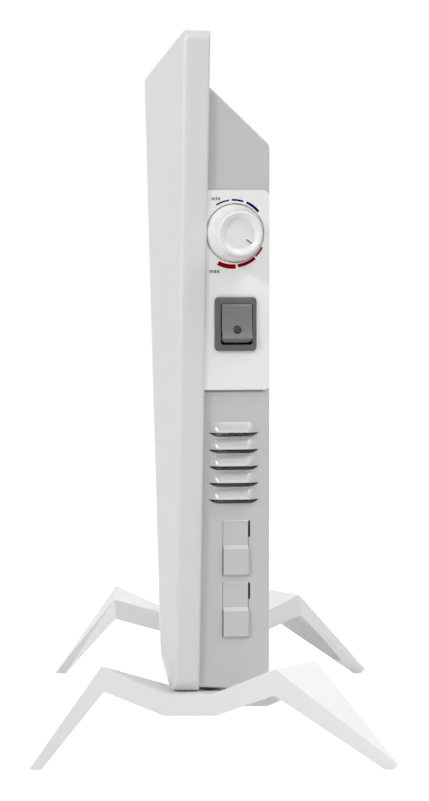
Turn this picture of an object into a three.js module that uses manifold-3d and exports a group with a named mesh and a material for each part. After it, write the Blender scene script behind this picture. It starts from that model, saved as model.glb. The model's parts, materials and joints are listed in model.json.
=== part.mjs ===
// Wall panel convector heater on its two feet, in millimetres.
// +Z is up, the heated front faces -Y, the controls are on the +X side.

import * as THREE from 'three';
import { mergeVertices } from 'three/addons/utils/BufferGeometryUtils.js';
import Module from 'manifold-3d';

const wasm = await Module();
wasm.setup();

// ---- driving dimensions ------------------------------------------------------------------

const gap = 0.3;                        // clearance kept between pieces that touch
const sheet = 1.2;                      // pressed steel thickness

const panel = {
  halfWidth: 230,
  bottom: 48,
  top: 448,
  corner: 6,
  bevel: 30,                            // width of the side and top bevels, seen from the front
  footBevel: 19,                        // height of the rounded lower edge
  rearY: [-9, -2.9],                    // flange's rear edge, at the bottom and at the top
  creaseY: [-23.9, -18.1],              // fold between flange and bevel
  faceY: [-32.4, -43.1],                // front face
};

const casing = {
  wallX: 224.4,                         // side wall's outer surface where Y is 0
  draft: THREE.MathUtils.degToRad(9),   // the casing narrows towards the wall
  frontY: -13,
  rearY: 33.5,
  returnWidth: 10,                      // width of the folded edge
  backHalfWidth: 218,
};

// The casing's end as [Y, Z], from the front foot round the back to the crown.
const casingProfile = [
  [casing.frontY, 49.6],
  [3, 49.6],
  [31.9, 56.2],
  [casing.rearY, 58.2],
  [casing.rearY, 375.5],
  [32.9, 378.4],
  [31.2, 380.3],
  [casing.frontY, 422.9],
];

const foot = {
  outerX: 238,
  innerX: 193,
  tipWidth: 6,
  wall: 2.4,
  seat: 46.2,                           // height of the flat that carries the casing
  under: 33,                            // underside below that flat
};

const controls = {
  plateBottom: 230,
  plateTop: 350,
  plateFrontY: -9,
  plateRearY: 33,
  plateThickness: 2,
  knobY: 12.3,
  knobZ: 324.8,
  switchY: 12.6,
  switchZ: 269.3,
};

const knob = {
  skirtRadius: 17,
  rimRadius: 13.6,
  dishRadius: 10,
  height: 20.4,
  pointerAngle: THREE.MathUtils.degToRad(-36),
};

const rocker = {
  pivotX: -3,
  restTilt: THREE.MathUtils.degToRad(-7),
  halfWidth: 9.1,
  halfHeight: 11.5,
};

const contactBar = {
  pivotX: -13.2,
  restTilt: THREE.MathUtils.degToRad(6),
};

const element = {
  right: 165,
  left: -185,
  y: -2,
  z: 142,
  halfHeight: 32,
  finReach: 11,
  finCount: 9,
};

const louvre = {
  lips: [203.9, 193.7, 183.4, 173.4, 163.2],
  y: 12,
  halfLength: 14.8,
  rise: 7.4,
  bulge: 2.8,
  slot: 2.4,
};

const lance = {
  tops: [150.8, 113],
  y: 13.2,
  halfWidth: 7.7,
  length: 33.8,
  slit: 0.3,
  openSlit: 1.3,                        // the wider gap beside the upper half
  openLength: 10,
  raise: 1.4,                           // how far the lower half stands out
};

// How far the knob reaches past the outer face of the foot, halved, centres the whole object on X.
const knobReach = casing.wallX
  + (gap + controls.plateThickness + knob.height) * Math.cos(casing.draft)
  - controls.knobY * Math.sin(casing.draft) + (knob.dishRadius + 1) * Math.sin(casing.draft);
const centreShift = (knobReach - foot.outerX) / 2;

// ---- materials ---------------------------------------------------------------------------

const paint = {
  white: { color: 0xe9e9e7, roughness: 0.42, metalness: 0 },
  grey: { color: 0xbdbdbb, roughness: 0.5, metalness: 0 },
  plate: { color: 0xf0f0ef, roughness: 0.38, metalness: 0 },
  knob: { color: 0xececea, roughness: 0.35, metalness: 0 },
  bezel: { color: 0x5c5c5c, roughness: 0.55, metalness: 0 },
  rocker: { color: 0x838180, roughness: 0.45, metalness: 0 },
  lens: { color: 0x22302c, roughness: 0.15, metalness: 0 },
  steel: { color: 0xb6b8ba, roughness: 0.35, metalness: 1 },
  brass: { color: 0xc9a64b, roughness: 0.3, metalness: 1 },
  aluminium: { color: 0xc6c8ca, roughness: 0.4, metalness: 1 },
  ceramic: { color: 0xe6dfcf, roughness: 0.6, metalness: 0 },
  phenolic: { color: 0x3a2a22, roughness: 0.5, metalness: 0 },
  nylon: { color: 0x2b2b2c, roughness: 0.5, metalness: 0 },
  live: { color: 0x6b3f22, roughness: 0.5, metalness: 0 },
  neutral: { color: 0x23459a, roughness: 0.5, metalness: 0 },
  earth: { color: 0x3f8f3a, roughness: 0.5, metalness: 0 },
  inner: { color: 0x8f3326, roughness: 0.5, metalness: 0 },
};

// ---- geometry helpers --------------------------------------------------------------------

// A closed solid for cutting and joining.
function solid(geometry) {
  const plain = geometry.clone();
  plain.deleteAttribute('normal');
  plain.deleteAttribute('uv');
  const merged = mergeVertices(plain, 1e-4);
  return new wasm.Manifold(new wasm.Mesh({
    numProp: 3,
    vertProperties: new Float32Array(merged.attributes.position.array),
    triVerts: new Uint32Array(merged.index.array),
  }));
}

// A geometry from a solid.
function geometryOf(body) {
  const mesh = body.getMesh();
  const geometry = new THREE.BufferGeometry();
  geometry.setAttribute('position', new THREE.BufferAttribute(mesh.vertProperties, 3));
  geometry.setIndex(new THREE.BufferAttribute(mesh.triVerts, 1));
  geometry.computeVertexNormals();
  return geometry;
}

function join(bodies) {
  return bodies.reduce((whole, body) => whole.add(body));
}

function cut(body, tools) {
  return tools.reduce((rest, tool) => rest.subtract(tool), body);
}

// A box between two corners.
function box(low, high) {
  const geometry = new THREE.BoxGeometry(high[0] - low[0], high[1] - low[1], high[2] - low[2]);
  geometry.translate((high[0] + low[0]) / 2, (high[1] + low[1]) / 2, (high[2] + low[2]) / 2);
  return solid(geometry);
}

// Turns a geometry made along +Z so that it runs along the named axis.
function along(geometry, axis) {
  if (axis === 'x') {
    geometry.applyMatrix4(new THREE.Matrix4().makeBasis(
      new THREE.Vector3(0, 1, 0), new THREE.Vector3(0, 0, 1), new THREE.Vector3(1, 0, 0)));
  }
  if (axis === 'y') {
    geometry.applyMatrix4(new THREE.Matrix4().makeBasis(
      new THREE.Vector3(0, 0, 1), new THREE.Vector3(1, 0, 0), new THREE.Vector3(0, 1, 0)));
  }
  return geometry;
}

// A revolved piece: profile points are [radius, height along the axis], from axis to axis.
function turned(profile, axis, at = [0, 0, 0], sides = 16) {
  const points = profile.map(([radius, height]) => new THREE.Vector2(radius, height));
  const geometry = new THREE.LatheGeometry(points, sides);
  geometry.rotateX(Math.PI / 2);
  along(geometry, axis);
  geometry.translate(...at);
  return solid(geometry);
}

function rod(radius, from, to, axis, at = [0, 0, 0], sides = 16) {
  return turned([[0, from], [radius, from], [radius, to], [0, to]], axis, at, sides);
}

// A shape from a list of corners.
function outline(points) {
  return new THREE.Shape(points.map(([a, b]) => new THREE.Vector2(a, b)));
}

// A profile drawn in Y and Z, carried along X.
function alongX(shape, from, to, bevel = {}) {
  const geometry = new THREE.ExtrudeGeometry(shape, { depth: to - from, bevelEnabled: false, ...bevel });
  along(geometry, 'x');
  geometry.translate(from, 0, 0);
  return solid(geometry);
}

// A profile drawn in X and Z, carried along Y.
function alongY(shape, from, to) {
  const geometry = new THREE.ExtrudeGeometry(shape, { depth: to - from, bevelEnabled: false });
  geometry.rotateX(Math.PI / 2);
  geometry.translate(0, to, 0);
  return solid(geometry);
}

// A rectangle with its own radius at each corner, anticlockwise from the low corner.
function roundedRectangle(left, bottom, right, top, radii, arcSteps = 4) {
  const centres = [
    [left + radii[0], bottom + radii[0], 180, radii[0]],
    [right - radii[1], bottom + radii[1], 270, radii[1]],
    [right - radii[2], top - radii[2], 0, radii[2]],
    [left + radii[3], top - radii[3], 90, radii[3]],
  ];
  const points = [];
  for (const [x, y, start, radius] of centres) {
    for (let step = 0; step <= arcSteps; step += 1) {
      const angle = THREE.MathUtils.degToRad(start + (90 * step) / arcSteps);
      points.push([x + radius * Math.cos(angle), y + radius * Math.sin(angle)]);
      if (radius === 0) {
        break;
      }
    }
  }
  return points;
}

// A closed skin through rings of equal length, capped at both ends.
function loft(rings) {
  const count = rings[0].length;
  const positions = rings.flat(2);
  const index = [];
  for (let ring = 0; ring + 1 < rings.length; ring += 1) {
    for (let step = 0; step < count; step += 1) {
      const a = ring * count + step;
      const b = ring * count + (step + 1) % count;
      index.push(a, a + count, b, b, a + count, b + count);
    }
  }
  const last = (rings.length - 1) * count;
  for (let step = 1; step + 1 < count; step += 1) {
    index.push(0, step, step + 1);
    index.push(last, last + step + 1, last + step);
  }
  const geometry = new THREE.BufferGeometry();
  geometry.setAttribute('position', new THREE.Float32BufferAttribute(positions, 3));
  geometry.setIndex(index);
  return solid(geometry);
}

// A surface z-like height over a grid, closed below by a flat floor.
function reliefSolid(across, up, height, floor) {
  const rings = across.map((y) => {
    const ring = up.map((z) => [height(y, z), y, z]);
    const base = [...up].reverse().map((z) => [floor, y, z]);
    return [...ring, ...base];
  });
  return loftStrip(rings);
}

// Like a loft, but its end caps follow the strip order of a relief.
function loftStrip(rings) {
  const count = rings[0].length;
  const half = count / 2;
  const index = [];
  for (let ring = 0; ring + 1 < rings.length; ring += 1) {
    for (let step = 0; step < count; step += 1) {
      const a = ring * count + step;
      const b = ring * count + (step + 1) % count;
      index.push(a, a + count, b, b, a + count, b + count);
    }
  }
  const last = (rings.length - 1) * count;
  for (let step = 0; step + 1 < half; step += 1) {
    const mate = count - 1 - step;
    index.push(step, step + 1, mate, step + 1, mate - 1, mate);
    index.push(last + step, last + mate, last + step + 1);
    index.push(last + step + 1, last + mate, last + mate - 1);
  }
  const geometry = new THREE.BufferGeometry();
  geometry.setAttribute('position', new THREE.Float32BufferAttribute(rings.flat(2), 3));
  geometry.setIndex(index);
  return solid(geometry);
}

// A round wire through points.
function wire(points, radius, steps, sides = 8) {
  const section = new THREE.Shape();
  section.absarc(0, 0, radius, 0, Math.PI * 2, false);
  const curve = new THREE.CatmullRomCurve3(points.map((point) => new THREE.Vector3(...point)));
  return solid(new THREE.ExtrudeGeometry(section, {
    steps,
    bevelEnabled: false,
    curveSegments: sides / 2,
    extrudePath: curve,
  }));
}

function piece(name, body, finish) {
  const mesh = new THREE.Mesh(geometryOf(body), new THREE.MeshStandardMaterial(finish));
  mesh.name = name;
  return mesh;
}

// The same body seen in a mirror across X = 0.
function mirrored(body) {
  const geometry = geometryOf(body);
  const positions = geometry.attributes.position;
  for (let item = 0; item < positions.count; item += 1) {
    positions.setX(item, -positions.getX(item));
  }
  const index = geometry.index.array;
  for (let item = 0; item < index.length; item += 3) {
    const swap = index[item];
    index[item] = index[item + 1];
    index[item + 1] = swap;
  }
  return solid(geometry);
}

// ---- front panel -------------------------------------------------------------------------

// Y of a plane that leans between the bottom and the top of the panel.
function leaning([atBottom, atTop], z) {
  return THREE.MathUtils.lerp(atBottom, atTop, (z - panel.bottom) / (panel.top - panel.bottom));
}

// One loop round the pan: inset from the outline, at a Y that leans with height.
function panLoop(side, lower, upper, plane, thickness, radius) {
  const inset = side + thickness;
  const corner = Math.max(radius - thickness / 2, 1.5);
  const points = roundedRectangle(
    -panel.halfWidth + inset, panel.bottom + lower + thickness,
    panel.halfWidth - inset, panel.top - upper - thickness,
    [corner, corner, corner, corner], 3);
  return points.map(([x, z]) => [x, leaning(plane, z) + (side > 0 || lower > 0 ? thickness : 0), z]);
}

// Blends two leaning planes.
function between(a, b, share) {
  return [THREE.MathUtils.lerp(a[0], b[0], share), THREE.MathUtils.lerp(a[1], b[1], share)];
}

function frontPanel() {
  const bevel = panel.bevel;
  // [side inset, lower inset, upper inset, plane, corner radius] from the face back to the rear edge
  const loops = [
    [bevel + 3, panel.footBevel + 5, bevel + 3, panel.faceY, 9],
    [bevel, panel.footBevel, bevel, between(panel.faceY, panel.creaseY, 0.03), 9],
    [bevel * 0.72, 10.5, bevel * 0.72, between(panel.faceY, panel.creaseY, 0.27), 8.5],
    [bevel * 0.4, 4.2, bevel * 0.4, between(panel.faceY, panel.creaseY, 0.58), 8],
    [1.2, 0.6, 1.2, between(panel.faceY, panel.creaseY, 0.94), 7],
    [0, 0, 0, between(panel.creaseY, panel.rearY, 0.06), panel.corner],
    [0, 0, 0, panel.rearY, panel.corner],
  ];
  const outer = loops.map(([side, lower, upper, plane, radius]) =>
    panLoop(side, lower, upper, plane, 0, radius));
  const inner = [...loops].reverse().map(([side, lower, upper, plane, radius]) =>
    panLoop(side, lower, upper, plane, sheet, radius));
  const pan = loft([...outer, ...inner]);
  return cut(pan, [1, -1].map((side) => {
    const [x, y] = footScrewPlaces(side)[1];
    return rod(2.6, panel.bottom - 2, panel.bottom + 4, 'z', [x, y, 0], 12);
  }));
}

// ---- side panels, drawn flat: x is the outward normal, y runs towards the wall ------------

// The casing's outline with its edges moved in by the inset, and its front edge by its own.
function casingOutline(inset, frontInset) {
  const points = casingProfile;
  const edges = points.map(([y, z], item) => {
    const [nextY, nextZ] = points[(item + 1) % points.length];
    const length = Math.hypot(nextY - y, nextZ - z);
    const normal = [-(nextZ - z) / length, (nextY - y) / length];
    const shift = item === points.length - 1 ? frontInset : inset;
    return { normal, reach: normal[0] * y + normal[1] * z + shift };
  });
  return edges.map((edge, item) => {
    const before = edges[(item + edges.length - 1) % edges.length];
    const scale = before.normal[0] * edge.normal[1] - before.normal[1] * edge.normal[0];
    return [
      (before.reach * edge.normal[1] - edge.reach * before.normal[1]) / scale,
      (before.normal[0] * edge.reach - edge.normal[0] * before.reach) / scale,
    ];
  });
}

// That outline in the side panel's frame, at a depth behind the outer surface.
function sideRing(inset, frontInset, x) {
  const sine = Math.sin(casing.draft);
  const cosine = Math.cos(casing.draft);
  return casingOutline(inset, frontInset).map(([y, z]) => [x, (y - x * sine) / cosine, z]);
}

// The pan of a side panel: a wall with its edges folded in, square to the back.
function sidePan() {
  const skin = loft([
    sideRing(1.2, 0, 0),
    sideRing(0.35, 0, -0.35),
    sideRing(0, 0, -1.2),
    sideRing(0, 0, -casing.returnWidth),
  ]);
  const hollow = loft([sideRing(sheet, -9, -sheet), sideRing(sheet, -9, -casing.returnWidth - 5)]);
  return cut(skin, [hollow, box([-3, -20, 40], [1, -8, 51.6])]);
}

const hoodWall = 0.9;                    // thickness of a pressed louvre

// Height of a louvre's hood above the wall.
function hoodHeight(y, z, lip, shrink) {
  const across = (y - louvre.y) / (louvre.halfLength - shrink);
  const up = (z - lip) / (louvre.rise - shrink);
  const round = Math.sqrt(Math.max(0, 1 - across ** 4));
  return (louvre.bulge - shrink) * round * Math.cos(Math.min(1, Math.max(0, up)) * Math.PI / 2) ** 0.7;
}

// The outer form of a louvre, standing on the wall.
function hood(lip) {
  const across = [-1, -0.93, -0.75, 0, 0.75, 0.93, 1].map((share) => louvre.y + share * louvre.halfLength);
  const up = [0, 0.4, 0.75, 1].map((share) => lip + share * louvre.rise);
  return reliefSolid(across, up, (y, z) => hoodHeight(y, z, lip, 0) + 0.02, -sheet / 2);
}

// The space under a louvre, open at its lip.
function hoodHollow(lip) {
  const across = [-1, -0.8, 0, 0.8, 1].map((share) => louvre.y + share * (louvre.halfLength - hoodWall));
  const up = [0, 0.6, 1].map((share) => lip + share * (louvre.rise - hoodWall) - (share === 0 ? 1 : 0));
  return reliefSolid(across, up, (y, z) => hoodHeight(y, z, lip, hoodWall) - 0.2, -3);
}

// A crescent opening under a louvre's lip.
function louvreSlot(lip) {
  const points = [];
  const steps = 8;
  const reach = louvre.halfLength - 0.6;
  for (let step = 0; step <= steps; step += 1) {
    const share = (2 * step) / steps - 1;
    points.push([louvre.y + share * reach, lip - 0.2 - louvre.slot * (1 - share ** 2)]);
  }
  points.push([louvre.y + reach - 0.8, lip + 1.2]);
  points.push([louvre.y - reach + 0.8, lip + 1.2]);
  return alongX(outline(points), -3, 0.4);
}

function addLouvres(wall) {
  let body = wall;
  for (const lip of louvre.lips) {
    body = body.add(hood(lip));
    body = cut(body, [hoodHollow(lip), louvreSlot(lip)]);
  }
  return body;
}

// A strip slit free at both sides, its upper half level with the wall and its lower half pressed out.
function lanceStrip(top) {
  const level = -sheet / 2;
  const path = [
    [level, top + 0.4],
    [level, top - 13.6],
    [lance.raise, top - 15.6],
    [lance.raise, top - 31.8],
    [level, top - 33.6],
    [level, top - 34.2],
  ];
  const left = path.map(([x, z]) => [x + 0.5, z]);
  const right = [...path].reverse().map(([x, z]) => [x - 0.5, z]);
  return alongY(outline([...left, ...right]), lance.y - lance.halfWidth, lance.y + lance.halfWidth);
}

function addLances(wall) {
  let body = wall;
  for (const top of lance.tops) {
    const edge = lance.y + lance.halfWidth;
    const reach = lance.halfWidth + lance.slit;
    body = cut(body, [
      box([-3, lance.y - reach, top - lance.length], [1, lance.y + reach, top]),
      box([-3, edge, top - lance.openLength], [1, edge + lance.openSlit, top]),
    ]);
    body = body.add(lanceStrip(top));
  }
  return body;
}

// Countersunk holes for the casing screws in the folded rear edge.
function rearScrewHoles() {
  const rear = casing.rearY / Math.cos(casing.draft);
  return rearScrewZ.map((z) => turned([
    [0, rear - 8], [1.7, rear - 8], [1.7, rear - 1], [3.3, rear + 0.3], [3.3, rear + 3], [0, rear + 3],
  ], 'y', [-6, 0, z], 12));
}

const rearScrewZ = [100, 340];

// The control plate's clips, as [y, z].
const clipPlaces = [[-2, 238], [-2, 342], [27, 238], [27, 342]];

function sidePanelRight() {
  const wall = addLances(addLouvres(sidePan()));
  const { knobY, knobZ, switchY, switchZ } = controls;
  return cut(wall, [
    rod(4.4, -4, 2, 'x', [0, knobY, knobZ]),
    box([-4, switchY - 11.6, switchZ - 15], [2, switchY + 11.6, switchZ + 15]),
    ...clipPlaces.map(([y, z]) => box([-4, y - 1.6, z - 2.6], [2, y + 1.6, z + 2.6])),
    ...rearScrewHoles(),
  ]);
}

function sidePanelLeft() {
  const wall = addLouvres(sidePan());
  return mirrored(cut(wall, rearScrewHoles()));
}

// ---- back panel --------------------------------------------------------------------------

const backInset = sheet + gap;          // the back panel lies inside the folded edges of the side panels

const backFront = 3.5;                  // the folded sheet starts this far behind the casing's front

function backSheet() {
  const reach = casing.backHalfWidth;
  const outer = alongX(outline(casingOutline(backInset, backFront)), -reach, reach);
  const inner = alongX(outline(casingOutline(backInset + sheet, -9)), -panel.halfWidth, panel.halfWidth);
  return outer.subtract(inner);
}

// The upright edge that closes the casing behind the front panel's top flange.
function crownEdge() {
  const [crownY, crownZ] = casingOutline(backInset, backFront)[7];
  const reach = panel.halfWidth - 2.4;
  const top = panel.top - sheet - 0.8;
  const shoulderZ = casingProfile[7][1] + 1;
  const neck = casing.backHalfWidth - 3;
  const half = [
    [neck, crownZ - 1.2], [neck, shoulderZ], [reach, shoulderZ],
    [reach, top - 6], [reach - 6, top],
  ];
  const plate = outline([...half, ...half.map(([x, z]) => [-x, z]).reverse()]);
  return alongY(plate, crownY - 0.6, crownY + 0.6);
}

// Round-ended slots in a row along X, cut straight through along the given direction.
function slotRow({ count, pitch, length, width, centre, tilt }) {
  const points = [];
  for (const end of [0, 1]) {
    for (const quarter of [0, 0.5, 1]) {
      const angle = (end + quarter) * Math.PI;
      const middle = (end === 0 ? 1 : -1) * (length - width) / 2;
      points.push([width / 2 * Math.cos(angle), middle + width / 2 * Math.sin(angle)]);
    }
  }
  const shape = outline(points);
  const row = [];
  for (let item = 0; item < count; item += 1) {
    const geometry = new THREE.ExtrudeGeometry(shape, { depth: 12, bevelEnabled: false });
    geometry.translate(0, 0, -6);
    geometry.rotateX(tilt);
    geometry.translate((item - (count - 1) / 2) * pitch, centre[0], centre[1]);
    row.push(solid(geometry));
  }
  return row;
}

// Keyhole for a wall screw: a round entry with a narrow neck above it.
function keyhole(x, z) {
  const entry = rod(5.5, 24, 40, 'y', [x, 0, z], 16);
  const neck = box([x - 2.6, 24, z], [x + 2.6, 40, z + 11]);
  return entry.add(neck).add(rod(2.6, 24, 40, 'y', [x, 0, z + 11], 12));
}

const keyholePlace = { x: 150, z: 340 };
const gland = { x: 178, z: 74 };

function backPanel() {
  const [, heel, rearLow, , , , rearHigh, crown] = casingOutline(backInset + sheet / 2, backFront);
  const topTilt = Math.atan2(crown[1] - rearHigh[1], crown[0] - rearHigh[0]);
  const lowTilt = Math.atan2(rearLow[1] - heel[1], rearLow[0] - heel[0]);
  const outlet = slotRow({
    count: 21,
    pitch: 19,
    length: 32,
    width: 5,
    centre: [(crown[0] + rearHigh[0]) / 2, (crown[1] + rearHigh[1]) / 2],
    tilt: topTilt,
  });
  const inlet = slotRow({
    count: 17,
    pitch: 19,
    length: 19,
    width: 5,
    centre: [(heel[0] + rearLow[0]) / 2, (heel[1] + rearLow[1]) / 2],
    tilt: lowTilt,
  });
  const rear = casing.rearY / Math.cos(casing.draft);
  const screwX = casing.wallX - 6 * Math.cos(casing.draft) - rear * Math.sin(casing.draft);
  const screwY = casing.rearY;
  const sideHoles = [-1, 1].flatMap((side) => rearScrewZ.map((z) =>
    rod(1.4, screwY - 8, screwY + 4, 'y', [side * (screwX + 0.4), 0, z], 10)));
  return cut(join([backSheet(), crownEdge()]), [
    ...outlet,
    ...inlet,
    ...sideHoles,
    ...[-1, 1].map((side) => keyhole(side * keyholePlace.x, keyholePlace.z)),
    rod(7.2, 20, 40, 'y', [gland.x, 0, gland.z], 16),
    ...[1, -1].flatMap(footScrewPlaces).map(([x, y]) => rod(2.6, 44, 60, 'z', [x, y, 0], 12)),
  ]);
}

// ---- feet --------------------------------------------------------------------------------

// Cross-sections from the front tip to the rear tip. Each gives, for the outer and the inner edge,
// [Y of the top, top, Y of the underside, underside]. The tips reach below the floor, which cuts them flat.
function footSections() {
  const { seat, under, innerX } = foot;
  const tipX = foot.outerX - foot.tipWidth;
  const frontTip = [-112, 0.6, -106, -1.6];
  const rearTip = [112, 2.8, 106, -1.8];
  return [
    { outer: frontTip, inner: frontTip, innerX: tipX },
    { outer: [-68.4, 63.1, -66.7, 47.6], inner: [-68.7, 57.8, -67.8, 43.8], innerX },
    { outer: [-31.2, seat, -30.5, under], inner: [-28, seat, -28, under], innerX },
    { outer: [-1.1, seat, 0.9, under], inner: [34, seat, 34, under], innerX },
    { outer: [36.7, 61.4, 35.8, 45.4], inner: [63, 61.2, 64.6, 46.6], innerX },
    { outer: rearTip, inner: rearTip, innerX: tipX },
  ];
}

// A ring of four corners, set in by the wall on three sides and carried past the open underside.
function footRing({ outer, inner, innerX }, wall) {
  const reach = wall > 0 ? 1.6 : 1;
  const [outerEdge, innerEdge] = [outer, inner].map(([topY, topZ, lowY, lowZ]) => {
    const length = Math.hypot(lowY - topY, lowZ - topZ);
    return [wall / length, reach].map((share) =>
      [THREE.MathUtils.lerp(topY, lowY, share), THREE.MathUtils.lerp(topZ, lowZ, share)]);
  });
  return [
    [foot.outerX - wall, ...outerEdge[0]],
    [innerX + wall, ...innerEdge[0]],
    [innerX + wall, ...innerEdge[1]],
    [foot.outerX - wall, ...outerEdge[1]],
  ];
}

// The hollow stops short of each tip, where the leg is solid.
function footHollow() {
  const sections = footSections();
  const tipShare = 0.26;
  const shorten = (tip, knee) => ({
    outer: tip.outer.map((value, item) => THREE.MathUtils.lerp(value, knee.outer[item], tipShare)),
    inner: tip.inner.map((value, item) => THREE.MathUtils.lerp(value, knee.inner[item], tipShare)),
    innerX: THREE.MathUtils.lerp(tip.innerX, knee.innerX, tipShare),
  });
  sections[0] = shorten(sections[0], sections[1]);
  sections[5] = shorten(sections[5], sections[4]);
  return loft(sections.map((section) => footRing(section, foot.wall)));
}

function footScrewPlaces(side) {
  return [[side * 203, -2], [side * 203, -20]];
}

// Two raised seats round the screws carry the casing.
function footSeats() {
  return footScrewPlaces(1).map(([x, y]) => rod(6.5, foot.seat - 5, 47.6, 'z', [x, y, 0], 16));
}

function footBody() {
  const shell = loft(footSections().map((section) => footRing(section, 0))).subtract(footHollow());
  const floor = box([150, -130, -10], [260, 130, 0]);
  const screwHoles = footScrewPlaces(1).map(([x, y]) => rod(2.4, 30, 50, 'z', [x, y, 0], 12));
  return cut(join([shell, ...footSeats()]), [floor, ...screwHoles]);
}

// A pan-head screw that holds a foot, its head inside the hollow.
function footScrew([x, y]) {
  return turned([
    [0, 37.6], [2.6, 37.6], [4, 38.6], [4, 40.8], [2, 40.8], [2, 57], [0, 57],
  ], 'z', [x, y, 0], 12);
}

// ---- controls, in the right side panel's frame ---------------------------------------------

function controlPlate() {
  const { plateFrontY, plateRearY, plateBottom, plateTop, plateThickness, knobY, knobZ } = controls;
  const { switchY, switchZ } = controls;
  const edge = 0.7;
  const face = outline(roundedRectangle(plateFrontY + edge, plateBottom + edge, plateRearY - edge,
    plateTop - edge, [0.5, 2.4, 4, 0.5], 4));
  const slab = alongX(face, gap, gap + plateThickness - edge, {
    bevelEnabled: true,
    bevelThickness: edge,
    bevelSize: edge,
    bevelSegments: 2,
  });
  const level = slab.subtract(box([gap - 2, -20, 200], [gap, 60, 380]));
  const hooks = clipPlaces.map(([y, z]) => clipHook(y, z));
  return cut(join([level, ...hooks]), [
    rod(7.6, -2, 5, 'x', [0, knobY, knobZ], 16),
    box([-2, switchY - 11.6, switchZ - 15], [5, switchY + 11.6, switchZ + 15]),
  ]);
}

// A barbed hook that snaps through the wall.
function clipHook(y, z) {
  const barb = outline([
    [gap + 0.5, z - 1.3], [gap + 0.5, z + 1.3], [-2.1, z + 1.3], [-3.8, z + 0.6], [-3.8, z - 0.2],
    [-1.9, z - 2.3], [-1.6, z - 2.3], [-1.6, z - 1.3],
  ]);
  return alongY(barb, y - 1.2, y + 1.2);
}

const terminalOffsets = [-8, 0, 8];

function switchHousing() {
  const { switchY, switchZ, plateThickness } = controls;
  const seat = 2 * gap + plateThickness;
  const rim = outline(roundedRectangle(switchY - 12.2, switchZ - 15.7, switchY + 12.2, switchZ + 15.7,
    Array(4).fill(1.9), 3));
  const bezel = alongX(rim, seat, seat + 1.4, {
    bevelEnabled: true,
    bevelThickness: 0.6,
    bevelSize: 0.6,
    bevelSegments: 2,
  }).subtract(box([0, -20, 240], [seat, 60, 300]));
  const barrel = box([-20, switchY - 11.2, switchZ - 14.6], [seat + 0.5, switchY + 11.2, switchZ + 14.6]);
  const blades = terminalOffsets.map((z) =>
    box([-22, switchY - 3.5, switchZ + z - 0.7], [-17, switchY + 3.5, switchZ + z + 0.7]));
  return cut(join([bezel, barrel]), [
    box([-18.6, switchY - 9.6, switchZ - 12.6], [8, switchY + 9.6, switchZ + 12.6]),
    rod(1.9, switchY - 12, switchY + 12, 'y', [rocker.pivotX, 0, switchZ], 16),
    ...blades,
  ]);
}

// One blade terminal through the floor of the housing, offset from its middle.
function switchTerminal(offset) {
  const { switchY, switchZ } = controls;
  const middle = switchZ + offset;
  const blade = box([-28, switchY - 3.1, middle - 0.4], [-16.4, switchY + 3.1, middle + 0.4]);
  return blade.subtract(rod(0.9, middle - 2, middle + 2, 'z', [-25.4, switchY, 0], 10));
}

// The rocker in its own frame: its pivot is the origin, tilt comes from its group.
function rockerBody() {
  const { halfWidth, halfHeight } = rocker;
  const side = [
    [9.8, -9.4], [9.9, -8.8], [9.9, 9.4], [9.6, 10], [7.4, halfHeight], [2, halfHeight],
    [-3, 9.4], [-4.6, 6], [-4.6, -6], [-3, -9.4], [2, -halfHeight], [7.2, -halfHeight],
  ].reverse();
  const body = alongY(outline(side), -halfWidth, halfWidth);
  const pins = rod(1.5, -10.8, 10.8, 'y', [0, 0, 0], 14);
  return cut(join([body, pins]), [
    rod(2.7, 7, 12, 'x', [0, 0, -4], 16),
    rod(1.9, -6, 3.2, 'x', [0, 0, 0], 14),
  ]);
}

function indicatorLens() {
  return turned([[0, 7.4], [2.4, 7.4], [2.4, 10], [1.9, 10.5], [1, 10.8], [0, 10.9]], 'x', [0, 0, -4], 16);
}

function rockerPlunger() {
  return turned([[0, -9.3], [0.8, -9.2], [1.4, -8.2], [1.4, -0.6], [0, -0.6]], 'x', [0, 0, 0], 14);
}

// Closed-coil spring in the rocker's bore, over the plunger's tail.
function plungerSpring() {
  const turns = 4;
  const steps = turns * 7;
  const length = 2.9;
  const radius = 1.1;
  const points = [];
  for (let step = 0; step <= steps; step += 1) {
    const angle = (step / steps) * turns * Math.PI * 2;
    points.push([(step / steps) * length - 0.1, radius * Math.cos(angle), radius * Math.sin(angle)]);
  }
  return wire(points, 0.22, steps, 4);
}

function contactBarBody() {
  const plate = box([-0.6, -3, -8], [0.2, 3, 8]);
  const knife = alongY(outline([[-1.6, -0.5], [-0.5, -1.3], [-0.5, 1.3], [-1.6, 0.5]].reverse()), -3, 3);
  const tips = [-6.4, 6.4].map((z) => rod(1.3, -1.2, -0.4, 'x', [0, 0, z], 12));
  return join([plate, knife, ...tips]);
}

function knobBody() {
  const { skirtRadius, rimRadius, dishRadius, height } = knob;
  const outer = [
    [0, height - 1.8], [dishRadius - 1.4, height - 1.8], [dishRadius, height - 1.2],
    [dishRadius + 0.9, height - 0.3], [dishRadius + 2, height],
    [rimRadius - 0.6, height - 0.9], [rimRadius + 0.4, height - 2.6], [rimRadius + 1, height - 5],
    [rimRadius + 1.9, height - 9.5], [skirtRadius, height - 16.2], [skirtRadius, 0.5],
  ];
  const hollow = [
    [skirtRadius - 2, 0.5], [rimRadius - 0.8, height - 5], [rimRadius - 3, height - 3.6],
    [4.6, height - 3.6], [4.6, 3.2], [2.8, 3.2],
    [2.8, height - 3.6], [0, height - 3.6],
  ];
  const cap = turned([...outer, ...hollow].reverse(), 'x', [0, 0, 0], 24);
  return cap.add(knobPointer());
}

// The pointer: a short raised tick across the rim of the dish.
function knobPointer() {
  const tick = box([knob.height - 2.4, 7, -0.45], [knob.height - 0.9, 9.6, 0.45]);
  return tick.rotate([THREE.MathUtils.radToDeg(knob.pointerAngle), 0, 0]);
}

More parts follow.
